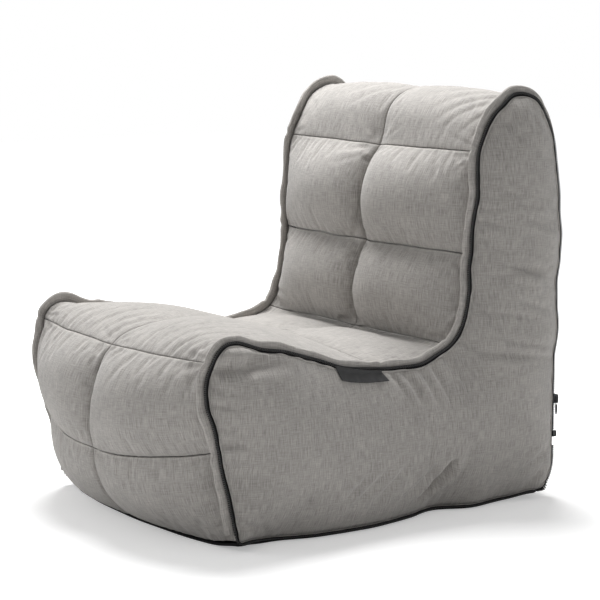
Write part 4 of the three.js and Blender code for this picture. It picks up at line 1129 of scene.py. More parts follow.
# Creases: the places (y, z) that each one comes from, passes over and goes to, with y from the middle of the
# seams, then the height of its ridge or, below 0, the depth of its valley, and half its width.
sideCreases = {
    "left": [
        (0.178, 0.112, 0.14, 0.066, 0.096, 0.03, -0.0075, 0.0085),
        (0.196, 0.104, 0.158, 0.064, 0.118, 0.034, 0.005, 0.01),
        (0.133, 0.106, 0.088, 0.066, 0.045, 0.04, -0.003, 0.008),
        (0.06, 0.122, 0.02, 0.084, -0.02, 0.05, -0.0034, 0.0085),
        (0.01, 0.118, -0.04, 0.082, -0.072, 0.046, -0.0026, 0.0075),
        (-0.03, 0.12, -0.066, 0.086, -0.1, 0.048, -0.0022, 0.008),
        (0.218, 0.15, 0.2, 0.1, 0.186, 0.05, -0.0016, 0.01),
        (0.06, 0.305, 0.084, 0.262, 0.104, 0.214, -0.002, 0.007),
        (0.038, 0.304, 0.054, 0.268, 0.07, 0.232, -0.0016, 0.006),
        (0.098, 0.306, 0.123, 0.25, 0.141, 0.2, -0.0022, 0.0075),
        (0.128, 0.312, 0.147, 0.262, 0.164, 0.212, -0.0024, 0.007),
        (0.152, 0.328, 0.185, 0.281, 0.207, 0.236, -0.002, 0.007),
        (0.186, 0.352, 0.222, 0.322, 0.262, 0.3, -0.0018, 0.008),
        (0.232, 0.312, 0.329, 0.303, 0.424, 0.282, -0.0034, 0.009),
        (0.285, 0.33, 0.354, 0.318, 0.43, 0.303, -0.0022, 0.007),
        (0.33, 0.282, 0.38, 0.276, 0.428, 0.262, -0.0018, 0.007),
        (0.288, 0.476, 0.351, 0.463, 0.432, 0.436, -0.0026, 0.009),
        (0.32, 0.405, 0.37, 0.392, 0.43, 0.37, -0.0016, 0.008),
        (0.33, 0.56, 0.385, 0.552, 0.44, 0.528, -0.0018, 0.008),
        (0.24, 0.56, 0.275, 0.556, 0.31, 0.54, -0.0016, 0.008),
        (-0.362, 0.342, -0.292, 0.33, -0.19, 0.342, -0.004, 0.012),
        (-0.34, 0.366, -0.26, 0.356, -0.15, 0.338, 0.0024, 0.011),
        (-0.356, 0.278, -0.335, 0.272, -0.306, 0.266, -0.0016, 0.006),
        (-0.352, 0.206, -0.322, 0.201, -0.286, 0.198, -0.002, 0.0065),
        (-0.346, 0.236, -0.328, 0.232, -0.306, 0.23, -0.0013, 0.0055),
        (-0.33, 0.05, -0.282, 0.044, -0.236, 0.042, -0.0028, 0.0075),
        (-0.334, 0.092, -0.31, 0.082, -0.284, 0.078, -0.0014, 0.006),
        (0.25, 0.24, 0.268, 0.185, 0.275, 0.135, -0.0012, 0.009),
        (0.3, 0.742, 0.316, 0.716, 0.324, 0.682, -0.0018, 0.0075),
        (0.37, 0.764, 0.372, 0.734, 0.366, 0.7, -0.0016, 0.007),
        (0.41, 0.1, 0.372, 0.084, 0.33, 0.06, -0.0018, 0.009),
    ],
    "right": [
        (0.15, 0.12, 0.12, 0.074, 0.074, 0.032, -0.006, 0.009),
        (0.236, 0.112, 0.19, 0.07, 0.15, 0.036, -0.004, 0.009),
        (0.02, 0.126, -0.02, 0.08, -0.062, 0.046, -0.003, 0.0085),
        (-0.11, 0.11, -0.15, 0.076, -0.196, 0.048, -0.0026, 0.0085),
        (0.08, 0.3, 0.1, 0.254, 0.112, 0.202, -0.0024, 0.007),
        (0.112, 0.306, 0.14, 0.25, 0.158, 0.206, -0.0022, 0.007),
        (0.148, 0.326, 0.186, 0.276, 0.214, 0.24, -0.002, 0.007),
        (0.03, 0.3, 0.046, 0.262, 0.052, 0.228, -0.0014, 0.006),
        (0.25, 0.352, 0.34, 0.338, 0.432, 0.31, -0.0032, 0.009),
        (0.28, 0.5, 0.35, 0.492, 0.436, 0.466, -0.0024, 0.009),
        (0.32, 0.25, 0.38, 0.238, 0.424, 0.22, -0.002, 0.0075),
        (0.31, 0.6, 0.37, 0.596, 0.436, 0.574, -0.0018, 0.008),
        (-0.36, 0.33, -0.282, 0.322, -0.176, 0.336, -0.0036, 0.012),
        (-0.352, 0.262, -0.322, 0.254, -0.286, 0.25, -0.0018, 0.0065),
        (-0.346, 0.182, -0.312, 0.178, -0.276, 0.18, -0.0018, 0.0065),
        (-0.322, 0.058, -0.268, 0.05, -0.22, 0.052, -0.0024, 0.008),
        (0.31, 0.748, 0.326, 0.716, 0.33, 0.68, -0.0018, 0.0075),
        (0.4, 0.11, 0.36, 0.08, 0.322, 0.056, -0.002, 0.009),
    ],
}


def insideLoop(points, edge):
    a, b = edge, np.roll(edge, -1, 0)
    y, z = points[:, None, 0], points[:, None, 1]
    crosses = (a[:, 1] > z) != (b[:, 1] > z)
    slope = np.where(np.abs(b[:, 1] - a[:, 1]) < 1e-12, 1e-12, b[:, 1] - a[:, 1])
    left = y < (b[:, 0] - a[:, 0]) * (z - a[:, 1]) / slope + a[:, 0]
    return (crosses & left).sum(1) % 2 == 1


def toEdge(points, edge):
    # The distance of each point from a closed line, and the place along it that it is nearest to.
    a, b = edge, np.roll(edge, -1, 0)
    ab = b - a
    span = (ab**2).sum(1)
    share = np.clip(((points[:, None] - a) * ab).sum(2) / np.maximum(span, 1e-14), 0, 1)
    gapTo = np.linalg.norm(points[:, None] - (a + share[..., None] * ab), axis=2)
    nearest = gapTo.argmin(1)
    run = np.concatenate([[0], np.cumsum(np.sqrt(span))])
    here = np.arange(len(points)), nearest
    return gapTo[here], run[nearest] + share[here] * np.sqrt(span[nearest])


def squareKnots(low, high, cell):
    a, b = np.meshgrid(np.arange(low[0], high[0], cell), np.arange(low[1], high[1], cell), indexing="ij")
    return np.column_stack([a.ravel(), b.ravel()])


def joinedNet(outlines, knots):
    # Triangles between closed flat outlines and the knots inside them.
    borders = []
    start = 0
    for outline in outlines:
        borders += [(start + k, start + (k + 1) % len(outline)) for k in range(len(outline))]
        start += len(outline)
    flat = [Vector(p) for p in np.concatenate([*outlines, knots]).tolist()]
    places, _, faces, *_ = geometry.delaunay_2d_cdt(flat, borders, [], 1, 1e-6)
    return np.array([tuple(p) for p in places]), faces


def netOver(edge, cell):
    # A net of squares inside a closed flat line, joined to the line by triangles.
    knots = squareKnots(edge.min(0) + cell * 0.5, edge.max(0), cell)
    knots = knots[insideLoop(knots, edge)]
    knots = knots[toEdge(knots, edge)[0] > cell * 0.62]
    places, faces = joinedNet([edge], knots)
    builder = bmesh.new()
    corners = [builder.verts.new((p[0], p[1], 0)) for p in places]
    for face in faces:
        builder.faces.new([corners[k] for k in face])
    bmesh.ops.join_triangles(builder, faces=builder.faces[:], angle_face_threshold=0.1,
                             angle_shape_threshold=0.5)
    builder.verts.index_update()
    faces = [[v.index for v in face.verts] for face in builder.faces]
    builder.free()
    return places, faces


def subdivided(points, faces):
    holder = placed("net", newMesh("net", points, faces))
    smoother = holder.modifiers.new("fine", "SUBSURF")
    smoother.levels = smoother.render_levels = 1
    smoother.boundary_smooth = "PRESERVE_CORNERS"
    return shapeOf(holder)


def meshNormals(points, faces):
    quads = np.array([face if len(face) == 4 else [*face, face[2]] for face in faces])
    a, b, c, d = (points[quads[:, k]] for k in range(4))
    across = np.cross(c - a, d - b)
    flat = (quads[:, 2] == quads[:, 3])[:, None]
    across = np.where(flat, np.cross(b - a, c - a), across)
    normals = np.zeros_like(points)
    for k in range(4):
        np.add.at(normals, quads[:, k], across)
    return unit(normals)


def creaseLift(points, creases):
    lift = np.zeros(len(points))
    for *line, height, half in creases:
        lift += creaseShape(points, np.array(line).reshape(3, 2) + [shiftY, 0], -height, half)
    return lift


def sideNet(look):
    spacing = look["cell"]
    place, _, over = onLoop(loop, np.arange(0, loop["length"], spacing))
    edge = place + over * (panelX - tapeX)
    flat, faces = netOver(edge[:, 1:], spacing)
    onEdge = toEdge(flat, edge[:, 1:])[0] < 1e-5
    span = np.linalg.norm(np.roll(edge, -1, 0) - np.roll(edge, 1, 0), axis=1) / 2
    away = np.maximum(np.linalg.norm(flat[:, None] - edge[None, :, 1:], axis=2), 1e-4)
    edgeX = (edge[:, 0] * span / away**2.5).sum(1) / (span / away**2.5).sum(1)
    even = (2 / np.pi * (span / away**4).sum(1)) ** (-1 / 3)
    x = edgeX + look["bulge"] * (1 - (1 - np.minimum(1, even / look["rise"])) ** crownPower) * ~onEdge
    x[onEdge] = edge[:, 0][np.linalg.norm(flat[onEdge][:, None] - edge[None, :, 1:], axis=2).argmin(1)]
    return np.column_stack([x, flat]), faces, onEdge, edge


netPoints, netFaces, netEdge, panelEdge = sideNet(sideLook)
facing = meshNormals(netPoints, netFaces)[:, 0].mean()
if facing < 0:
    netFaces = [face[::-1] for face in netFaces]
print("side net", len(netPoints), "points")
netShape = blowUp(netPoints, netFaces, netEdge, sideSim, sideLook["cap"])
finePoints, fineFaces = subdivided(netShape, netFaces)
fineFar, fineAlong = toEdge(finePoints[:, 1:], panelEdge[:, 1:])


def sidePanel(side):
    look = sideLook
    word = sideWord(side)
    normals = meshNormals(finePoints, fineFaces)
    seed = 300 if side > 0 else 400
    leaning = fineAlong + look["slant"] * fineFar
    table = np.linspace(leaning.min(), leaning.max(), 9000)
    puckers = np.interp(leaning, table, gatherLine(table, look["gatherSpacing"], seed))
    wide = np.interp(leaning, table, gatherLine(table, look["gatherSpacing"] * look["wideSpacing"], seed + 7))
    reach = look["gatherReach"] * np.interp(leaning, table, 0.7 + 0.5 * waver(table, 0.04, seed + 3))
    clear = 1 - np.exp(-fineFar / 0.0025)
    gathers = puckers * np.exp(-fineFar / reach)
    gathers += look["wideGathers"] * wide * np.exp(-fineFar / look["wideReach"])
    lift = look["gatherHeight"] * clear * gathers
    creases = creaseLift(finePoints[:, 1:], sideCreases[word])
    lift += creases * look["creaseDepth"] * np.minimum(1, fineFar / 0.004)
    lift -= rollEdge(fineFar, look["roll"])
    points = finePoints + normals * lift[:, None]
    edges = dict.fromkeys((a, b) for face in fineFaces for a, b in zip(face, face[1:] + face[:1]))
    rim = [(a, b) for a, b in edges if (b, a) not in edges]
    rimPoints = sorted({k for pair in rim for k in pair})
    lipOf = {k: len(points) + n for n, k in enumerate(rimPoints)}
    inward = points[rimPoints] - normals[rimPoints] * look["lip"]
    faces = fineFaces + [[b, a, lipOf[a], lipOf[b]] for a, b in rim]
    piece = newPiece(f"side_{word}", np.concatenate([points, inward]), faces, coverWeave, mirror=side < 0)
    weaveUv(piece, np.concatenate([finePoints[:, 1:], finePoints[rimPoints, 1:]]))
    # Painted shade: the side panel darkens towards its edge at the seam, and its lips, which turn down into
    # the seam, are darkest.
    shadeBy(piece, np.concatenate([-0.3 * np.exp(-fineFar / 0.004), np.full(len(rimPoints), -1.0)]))
    standsFor(piece, f"side_panel_{word}")
    return piece


sideLeft = sidePanel(1)
sidePanel(-1)

# The turned edge of each side panel, which stands a little over the zip's tape: out of the seam, and over.
turnedEdge = [(-0.0030, 0.0008), (0.0008, 0.0009), (0.0017, 0.0012), (0.0021, 0.0017), (0.0017, 0.0022),
              (0.0006, 0.0024), (-0.0012, 0.0022), (-0.0030, 0.0014)]

turnedLook = {
    "drawnIn": 0.0017,
    "waveSpacing": 0.019,
    "swell": 0.0005,  # of its outer face
    "swellSpacing": 0.013,
}


def makeTurnedEdge(side):
    section, look = np.array(turnedEdge), turnedLook
    run = loop["run"]
    raised = np.clip(section[:, 0] / section[:, 0].max(), 0, 1)
    reach = -look["drawnIn"] * (1 + 0.8 * waver(run, look["waveSpacing"], 81 if side > 0 else 91))
    n = section[None, :, 0] + reach[:, None] * raised[None, :]
    swelling = look["swell"] * waver(run, look["swellSpacing"], 83)
    t = section[None, :, 1] + swelling[:, None] * (section[None, :, 1] > 0.0015)
    rings = sweep(loop["place"], loop["out"], loop["over"], n, t)
    piece = sweptPiece(f"side_edge_{sideWord(side)}", rings, coverWeave, True, mirror=side < 0)
    weaveUv(piece, threadGrid(section[:, 0] + 0.4, run))
    # Painted light and shade: the turned edge is paler where it stands out of the seam and darker where it
    # turns down into it.
    shadeBy(piece, np.broadcast_to(0.35 * raised - 0.15, n.shape).ravel())
    standsFor(piece, None)


makeTurnedEdge(1)
makeTurnedEdge(-1)
print("side panels ready")

# The welts: a padded fold of the cover cloth that stands along each edge of the strip, and its stitches.

weltLook = {
    "spacing": 0.003,
    "tall": 1.12,
    "rearTall": 0.66,  # down the rear, where it leans over
    "rearFrom": 0.17,  # beyond the upper back seam
    "rearTo": 0.05,  # beyond the rear shoulder seam
    "wave": 0.0024,  # of its crest, out of the seam
    "waveSpacing": 0.045,
    "rippleSpacing": 0.021,
    "lean": 0.0026,  # of its head, over the strip
    "leanSpacing": 0.05,
    "rearLean": 0.004,
    "gather": 0.0010,
    "gatherSpacing": 0.011,
    "notch": 0.0032,  # in its crest at each cross seam
    "notchHalf": 0.006,
    "stitchColumn": 3,  # the corner of its section that the stitches follow
    "stitchLength": 0.0030,
    "stitchPitch": 0.0043,
    "stitchWidth": 0.00035,
}
# How far out of the seam and how far over towards the side panel each corner of its section lies.
weltSection = [
    (-0.0030, -0.0022), (0.0015, -0.0048), (0.0036, -0.0052), (0.0060, -0.0066), (0.0095, -0.0073),
    (0.0130, -0.0070), (0.0155, -0.0058), (0.0168, -0.0038), (0.0170, -0.0020), (0.0163, 0.0000),
    (0.0145, 0.0010), (0.0105, 0.0014), (0.0060, 0.0013), (0.0010, 0.0012), (-0.0030, 0.0010),
]


def weltRings(seed, look):
    low, high = chair["hemClear"], sideCurve["length"] - chair["hemClear"]
    distance = np.linspace(low, high, int((high - low) / look["spacing"]))
    section = np.array(weltSection)
    ripple = waver(distance, look["rippleSpacing"], seed + 1)
    wave = look["wave"] * (waver(distance, look["waveSpacing"], seed) + 0.5 * ripple)
    lean = look["lean"] * (waver(distance, look["leanSpacing"], seed + 2) - 0.8)
    gather = look["gather"] * gatherLine(distance, look["gatherSpacing"], seed + 3)
    notch = sum(np.exp(-((distance - at) / look["notchHalf"]) ** 2) for at in sideAt[1:-1]) * look["notch"]
    raised = np.clip(section[:, 0] / section[:, 0].max(), 0, 1)[None, :]
    plump = np.exp(-((section[:, 0] - 0.010) / 0.005) ** 2)[None, :] * (section[:, 1] < -0.004)
    behind = np.interp(distance, [sideAt[6] + look["rearFrom"], sideAt[7] + look["rearTo"]], [0.0, 1.0])
    tall = look["tall"] * (1 - behind) + look["rearTall"] * behind
    lean = lean - look["rearLean"] * behind
    n = section[None, :, 0] * tall[:, None] + raised**1.5 * (wave * (1 - 0.5 * behind) - notch)[:, None]
    t = section[None, :, 1] + raised * lean[:, None] - plump * gather[:, None]
    return distance, sweep(*seamFrame(distance, halfSeam), n, t)


def makeWelt(side):
    distance, rings = weltRings(500 if side > 0 else 600, weltLook)
    section = np.array(weltSection)
    piece = sweptPiece(f"welt_along_{sideWord(side)}", rings, coverWeave, False, mirror=side < 0)
    weaveUv(piece, threadGrid(runOf(section) + 0.7, distance))
    # The welt's tone: painted light lifts the whole welt, its crest is paler still as worn cloth, and painted
    # shade darkens its foot where it goes down into the seam.
    paintedFootShade = np.clip(1 - section[:, 0] / 0.005, 0, 1)
    crest = np.exp(-((section[:, 0] - section[:, 0].max()) / 0.002) ** 2)
    shadeBy(piece, np.broadcast_to(0.45 + 0.25 * crest - paintedFootShade, rings.shape[:2]).ravel())
    standsFor(piece, f"welt_{sideWord(side)}")
    return distance, rings


def makeStitches(name, starts, ends, up, width, finish):
    # Short threads that dip into the cloth at both ends.
    shares = np.array([0.0, 0.2, 0.5, 0.8, 1.0])
    rise = np.array([-0.6, 0.5, 0.85, 0.5, -0.6]) * width
    across = unit(np.cross(ends - starts, up))
    points = []
    for share, lift in zip(shares, rise):
        middle = starts + (ends - starts) * share + up * lift
        for turn in np.arange(5) * 2 * np.pi / 5:
            points.append(middle + across * math.cos(turn) * width + up * math.sin(turn) * width * 0.7)
    faces = gridFaces(5, 5, closedWide=True) + np.arange(len(starts))[:, None, None] * len(points)
    piece = newPiece(name, np.stack(points, 1).reshape(-1, 3), faces.reshape(-1, 4), finish)
    standsFor(piece, None)


threadFinish = plainFinish("sewing_thread", (0.50, 0.49, 0.475), 0.8, sheen=0.3)
for side in (1, -1):
    distance, points = makeWelt(side)
    stitchAt = np.arange(distance[0] + 0.004, distance[-1] - 0.004, weltLook["stitchPitch"])
    column = weltLook["stitchColumn"]
    inner, line, outer = (onLine(points[:, column + k], distance, stitchAt) for k in (-1, 0, 1))
    lineEnd = onLine(points[:, column], distance, stitchAt + weltLook["stitchLength"])
    upward = unit(np.cross(outer - inner, lineEnd - line))
    if side < 0:
        line, lineEnd, upward = mirrorOf(line), mirrorOf(lineEnd), mirrorOf(upward)
    if (upward[:, 0] * side).mean() > 0:
        upward = -upward
    makeStitches(f"welt_stitches_{sideWord(side)}", line, lineEnd, upward, weltLook["stitchWidth"],
                 threadFinish)
print("welts ready")

# The joining zip: its tape and beaded cord with moulded teeth all round each side panel.

zipLook = {
    "seamAllowance": 0.003,
    "cordWidth": 0.0018,
    "cordThickness": 0.0018,
    "toothReach": 0.0027,
    "toothThickness": 0.0026,
    "toothPitch": 0.0035,
    "boxHeight": 0.125,
    "boxTall": 0.012,
    "chainEndHeight": 0.098,
}
cordStart = chair["tapeWidth"] + chair["gap"]


def makeTape(side):
    half = chair["tapeThickness"] / 2
    low, high = -zipLook["seamAllowance"], chair["tapeWidth"]
    under = [(low, -half), (low + 0.002, -half), (high - 0.0004, -half), (high, -half * 0.4)]
    section = np.array(under + [(n, -t) for n, t in under[::-1]])
    rings = sweep(loop["place"], loop["out"], loop["over"], *section.T)
    piece = sweptPiece(f"zip_tape_{sideWord(side)}", rings, zipCloth, True, mirror=side < 0)
    standsFor(piece, f"joining_tape_{sideWord(side)}")


def loopDistanceAt(height):
    # Where the loop passes the given height on its straight run at the rear.
    z = loop["place"][:, 2]
    straight = np.abs(loop["place"][:, 1] - zipRunY) < 0.0005
    rear = np.flatnonzero(straight & (z > chair["zipRunBottom"] - 0.001))
    nearest = rear[np.abs(z[rear] - height).argmin()]
    return loop["run"][nearest] + (z[nearest] - height)


def teethAt(place, out, travel, over, levels, pitch, thickness):
    # A moulded tooth at each place. Levels: how far out, then half its length as a share of the pitch and
    # half its thickness as a share of the full thickness.
    points = [place + out * n + travel * (a * half * pitch) + over * (o * thick * thickness)
              for n, half, thick in levels for a, o in ((-1, -1), (1, -1), (1, 1), (-1, 1))]
    size = len(points)
    caps = [[3, 2, 1, 0], range(size - 4, size)]
    tooth = np.concatenate([gridFaces(len(levels), 4, closedWide=True), caps])
    faces = tooth + np.arange(len(place))[:, None, None] * size
    return np.stack(points, 1).reshape(-1, 3), faces.reshape(-1, 4)


def makeChain(side):
    look = zipLook
    start = loopDistanceAt(look["chainEndHeight"])
    end = loopDistanceAt(look["boxHeight"] + look["boxTall"] / 2 + chair["gap"]) + loop["length"]
    along = np.linspace(start, end, int((end - start) / 0.003))
    ring = np.arange(8) * 2 * np.pi / 8 + np.pi / 8
    n = cordStart + look["cordWidth"] / 2 + look["cordWidth"] / 2 * np.cos(ring) * 1.06
    t = look["cordThickness"] / 2 * np.sin(ring) * 1.06
    cord = sweep(*onLoop(loop, along), n, t).reshape(-1, 3)
    pitch = look["toothPitch"]
    place, out, over = onLoop(loop, np.arange(start + pitch * 0.6, end - pitch * 0.6, pitch))
    root = cordStart + look["cordWidth"] * 0.25
    tip = cordStart + look["cordWidth"] + look["toothReach"]
    levels = [(root, 0.20, 0.40), (root + 0.0012, 0.20, 0.50), (tip - 0.0019, 0.20, 0.50),
              (tip - 0.0012, 0.34, 0.50), (tip - 0.0004, 0.34, 0.46), (tip, 0.22, 0.30)]
    travel = unit(np.cross(out, over))
    teeth, toothFaces = teethAt(place, out, travel, over, levels, pitch, look["toothThickness"])
    faces = sweptFaces(len(along), 8, False) + (toothFaces[:, ::-1] + len(cord)).tolist()
    piece = newPiece(f"zip_chain_{sideWord(side)}", np.concatenate([cord, teeth]), faces, zipPlastic,
                     mirror=side < 0, smooth=False)
    standsFor(piece, f"joining_chain_{sideWord(side)}")


for side in (1, -1):
    makeTape(side)
    makeChain(side)
print("joining zips ready")


# The rigid fittings keep their shape: their edges are eased and they take their finish.

def finishFitting(node, finish, ease):
    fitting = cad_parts[node]
    fitting.data.materials.clear()
    fitting.data.materials.append(finish)
    bevel = fitting.modifiers.new("eased edges", "BEVEL")
    bevel.width = ease
    bevel.segments = 2
    bevel.limit_method = "ANGLE"
    bevel.angle_limit = math.radians(35)


for finish, ease, fittings in (
    (zipMetal, 0.00022, ("joining_slider", "joining_pull")),
    (zipPlastic, 0.00025, ("joining_box", "joining_pin", "joining_stop_left", "joining_stop_right")),
    (zipMetal, 0.00015, ("base_zip_slider", "liner_zip_slider")),
):
    for node in fittings:
        finishFitting(node, finish, ease)
print("zip fittings ready")

# The label tag: a folded black tape, sewn in under the edge of the left side panel and lying on it.

labelLook = {
    "length": 0.109,
    "middle": -0.036,
    "over": 0.0022,  # of the seam
    "drop": 0.027,
    "short": 0.30,  # how much of its drop the rear end loses where it turns up
    "skew": 0.009,  # its lower edge lies this much further back
    "thickness": 0.0011,
    "clear": 0.0009,  # of the side panel
    "stand": 0.0040,  # out of the seam, at its upper edge
    "ripple": 0.0004,
    "curl": 0.0035,
}


def seamHeightAt(y):
    upper = onCurve(sideCurve, np.linspace(sideAt[2], sideAt[4], 500))
    return np.interp(y, upper[:, 0], upper[:, 1])


def makeLabel(look):
    skin = BVHTree.FromObject(sideLeft, bpy.context.evaluated_depsgraph_get())
    along = np.linspace(0, 1, 43)
    down = np.linspace(0, 1, 14)
    points = np.empty((len(down), len(along), 3))
    middle = midY(look["middle"])
    seamRun = np.linspace(sideAt[2], sideAt[4], 500)
    edgeY, edgeOver = onCurve(sideCurve, seamRun)[:, 0], seamWaver(seamRun)[1]
    for j, d in enumerate(down):
        for i, a in enumerate(along):
            y = middle + look["length"] * (a - 0.5) + look["skew"] * d
            top = seamHeightAt(middle + look["length"] * (a - 0.5)) + look["over"]
            z = top - look["drop"] * d * (1 - look["short"] * a**1.6)
            edgeX = tapeX + np.interp(y, edgeY, edgeOver)
            hit = skin.ray_cast(Vector((0.6, y, min(z, top - 0.004))), Vector((-1, 0, 0)))[0]
            x = max((hit.x if hit else panelX) + look["clear"], edgeX + look["stand"] * (1 - d))
            flare = d**2 * (0.35 + 1.1 * a**3 + 0.25 * math.sin(7 * a)) * look["curl"]
            points[j, i] = (x + flare, y, z)
    points[..., 0] += look["ripple"] * np.sin(along * 40)[None, :] * down[:, None]
    faces = gridFaces(len(down), len(along))[:, ::-1]
    piece = newPiece("side_label", points.reshape(-1, 3), faces, labelCloth)
    thick = piece.modifiers.new("cloth", "SOLIDIFY")
    thick.thickness = look["thickness"]
    thick.offset = 1.0
    standsFor(piece, "label_tag")


labelCloth = plainFinish("label_cloth", (0.060, 0.060, 0.064), 0.72, grain=3000.0, grainDepth=0.00012,
                         sheen=0.08)
makeLabel(labelLook)
print("label ready")

# The base: a hemmed canvas sheet on the floor, with a mouth that the filler zip closes.

baseLook = {
    "cell": 0.012,
    "height": 0.0015,
    "thickness": 0.0009,
    "sag": 0.0003,
    "hemWidth": 0.011,
    "hemHeight": 0.0029,
    "hemThickness": 0.0052,
    "mouthWidth": 0.018,  # it is as long as its zip
}
fillerZips = {
    "base": {"y": 0.070, "length": 0.400, "tapeWidth": 0.014, "tapeThickness": 0.0006, "height": 0.0036},
    "liner": {"y": -0.090, "length": 0.300, "tapeWidth": 0.014, "tapeThickness": 0.0005, "height": 0.0055},
}
fillerTeeth = {"gap": 0.0014, "width": 0.0018, "thickness": 0.0016, "pitch": 0.0032}


def evenRing(points, spacing):
    closed = np.vstack([points, points[:1]])
    run = runOf(closed)
    return onLine(closed, run, np.linspace(0, run[-1], int(run[-1] / spacing), endpoint=False))


def baseOutline(look):
    side = onCurve(basePath, np.linspace(0, basePath["length"], 160))
    x = np.linspace(-stripHalf, stripHalf, 60)
    front = stripFace(x, 0, 0.0)[0][:, :2]
    rear = stripFace(x, len(rows) - 1, 1.0)[0][:, :2]
    return evenRing(np.vstack([front, side[::-1], rear[::-1], side * [-1, 1]]), look["cell"] * 0.6)


def mouthRing(look):
    half, wide = fillerZips["base"]["length"] / 2, look["mouthWidth"] / 2
    corners = np.array([(-half, -wide), (half, -wide), (half, wide), (-half, wide)])
    return evenRing(corners + [0, midY(fillerZips["base"]["y"])], look["cell"] * 0.6)


def cornersUp(places):
    # The base's corners turn up with the cloth that is sewn to them.
    front, rear = onCurve(basePath, np.array([basePath["length"], 0.0]))
    away = [np.hypot(np.abs(places[..., 0]) - end[0], places[..., 1] - end[1]) for end in (front, rear)]
    return footLook["corner"] * np.maximum(*(np.exp(-(a / footLook["into"]) ** 2) for a in away))


def makeBase(look):
    ring, mouth = baseOutline(look), mouthRing(look)
    knots = squareKnots(ring.min(0), ring.max(0), look["cell"])
    knots = knots[insideLoop(knots, ring) & ~insideLoop(knots, mouth)]
    knots = knots[np.minimum(toEdge(knots, ring)[0], toEdge(knots, mouth)[0]) > look["cell"] * 0.6]
    places, faces = joinedNet([ring, mouth], knots)
    middles = np.array([places[face].mean(0) for face in faces])
    keep = insideLoop(middles, ring) & ~insideLoop(middles, mouth)
    x, y = places.T
    z = look["height"] + look["sag"] * np.sin(x * 41 + 2 * np.sin(y * 23)) * np.cos(y * 37)
    points = np.column_stack([places, z + cornersUp(places)])
    sheet = newPiece("base_canvas", points, [face for face, kept in zip(faces, keep) if kept], baseCanvas)
    weaveUv(sheet, places)
    thick = sheet.modifiers.new("cloth", "SOLIDIFY")
    thick.thickness = look["thickness"]
    thick.offset = 0
    standsFor(sheet, "base_panel")
    makeHem("base_hem", ring, 1, look)
    makeHem("base_mouth_hem", mouth, -1, look)


def makeHem(name, edge, into, look):
    # A doubled band along an edge of the base, stitched once along its inner side.
    ahead = unit(np.roll(edge, -1, 0) - np.roll(edge, 1, 0))
    inward = np.column_stack([-ahead[:, 1], ahead[:, 0]])
    if insideLoop(edge[:1] + inward[:1] * 0.003, edge)[0] == (into < 0):
        inward = -inward
    if into > 0:
        level, width, thick = look["hemHeight"], look["hemWidth"], look["hemThickness"] / 2
    else:
        level, width, thick = look["height"], look["hemWidth"] * 0.55, look["hemThickness"] / 4
    inner, up = np.array([
        (0.0002, 0.0), (0.0010, -0.8 * thick), (0.35 * width, -thick), (0.85 * width, -0.9 * thick),
        (width, -0.5 * thick), (width, 0.5 * thick), (0.85 * width, 0.55 * thick),
        (0.80 * width, 0.95 * thick), (0.35 * width, thick), (0.0010, 0.8 * thick),
    ]).T
    flat = edge[:, None] + inward[:, None] * inner[None, :, None]
    z = level + up[None, :] + cornersUp(flat)
    piece = sweptPiece(name, np.concatenate([flat, z[..., None]], -1), baseCanvas, True)
    standsFor(piece, None)


def makeFillerZip(kind, side, tapeFinish):
    zipOf, look = fillerZips[kind], fillerTeeth
    half, place = zipOf["length"] / 2, "rear" if side > 0 else "front"
    inner, width, web = look["gap"] / 2, zipOf["tapeWidth"], zipOf["tapeThickness"] / 2
    cord = look["width"] * 0.45
    under = [(inner + cord, -web * 2.0), (inner + 2 * cord, -web * 2.0), (inner + 2.4 * cord, -web),
             (width, -web)]
    section = np.array(under + [(n, -t) for n, t in under[::-1]])
    out, travel, over = np.array([[[0, side, 0]], [[1, 0, 0]], [[0, 0, 1]]], float)
    middle = midY(zipOf["y"])
    x = np.linspace(-half, half, int(zipOf["length"] / 0.006))
    edge = np.column_stack([x, np.full(len(x), middle), np.full(len(x), zipOf["height"])])
    rings = sweep(edge, out, over, *section.T)
    faces = [face[::side] for face in sweptFaces(len(x), len(section), False)]
    tape = newPiece(f"{kind}_zip_tape_{place}", rings.reshape(-1, 3), faces, tapeFinish)
    standsFor(tape, f"{kind}_zip_{place}")
    x = np.arange(-half + 0.004, half - 0.004, look["pitch"]) + (look["pitch"] / 2 if side > 0 else 0)
    levels = [(look["width"] + inner, 0.30, 0.5), (inner + 0.0008, 0.22, 0.5), (inner + 0.0004, 0.33, 0.475),
              (inner, 0.22, 0.3)]
    toothAt = np.column_stack([x, np.full(len(x), middle), np.full(len(x), zipOf["height"])])
    points, faces = teethAt(toothAt, out, travel, over, levels, look["pitch"], look["thickness"])
    teeth = newPiece(f"{kind}_zip_teeth_{place}", points, faces[:, ::-side], zipPlastic, smooth=False)
    standsFor(teeth, None)


makeBase(baseLook)
for kind, tapeFinish, slotName in (("base", zipCloth, "zip_tape"), ("liner", liningCloth, "liner_tape")):
    makeFillerZip(kind, -1, tapeFinish)
    makeFillerZip(kind, 1, tapeFinish)
print("base and filler zips ready")

# The liner and its filling follow the cover from inside.

innerLook = {
    "voxel": 0.010,
    "smoothing": 14,
    "clear": 0.014,  # from the cover
    "within": 0.08,  # how near the cover has to be to count
    "linerFloor": 0.0064,
    "linerPuckers": 0.0022,
    "fillingInset": 0.0030,
    "fillingFloor": 0.0092,
    "fillingLumps": 0.0016,
}


def innerShape(look):
    # The filling's solid, made even and smooth.
    holder = placed("inner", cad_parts["bead_filling"].data.copy())
    even = holder.modifiers.new("even", "REMESH")
    even.mode = "VOXEL"
    even.voxel_size = look["voxel"]
    soft = holder.modifiers.new("soft", "SMOOTH")
    soft.factor = 0.5
    soft.iterations = look["smoothing"]
    return shapeOf(holder)


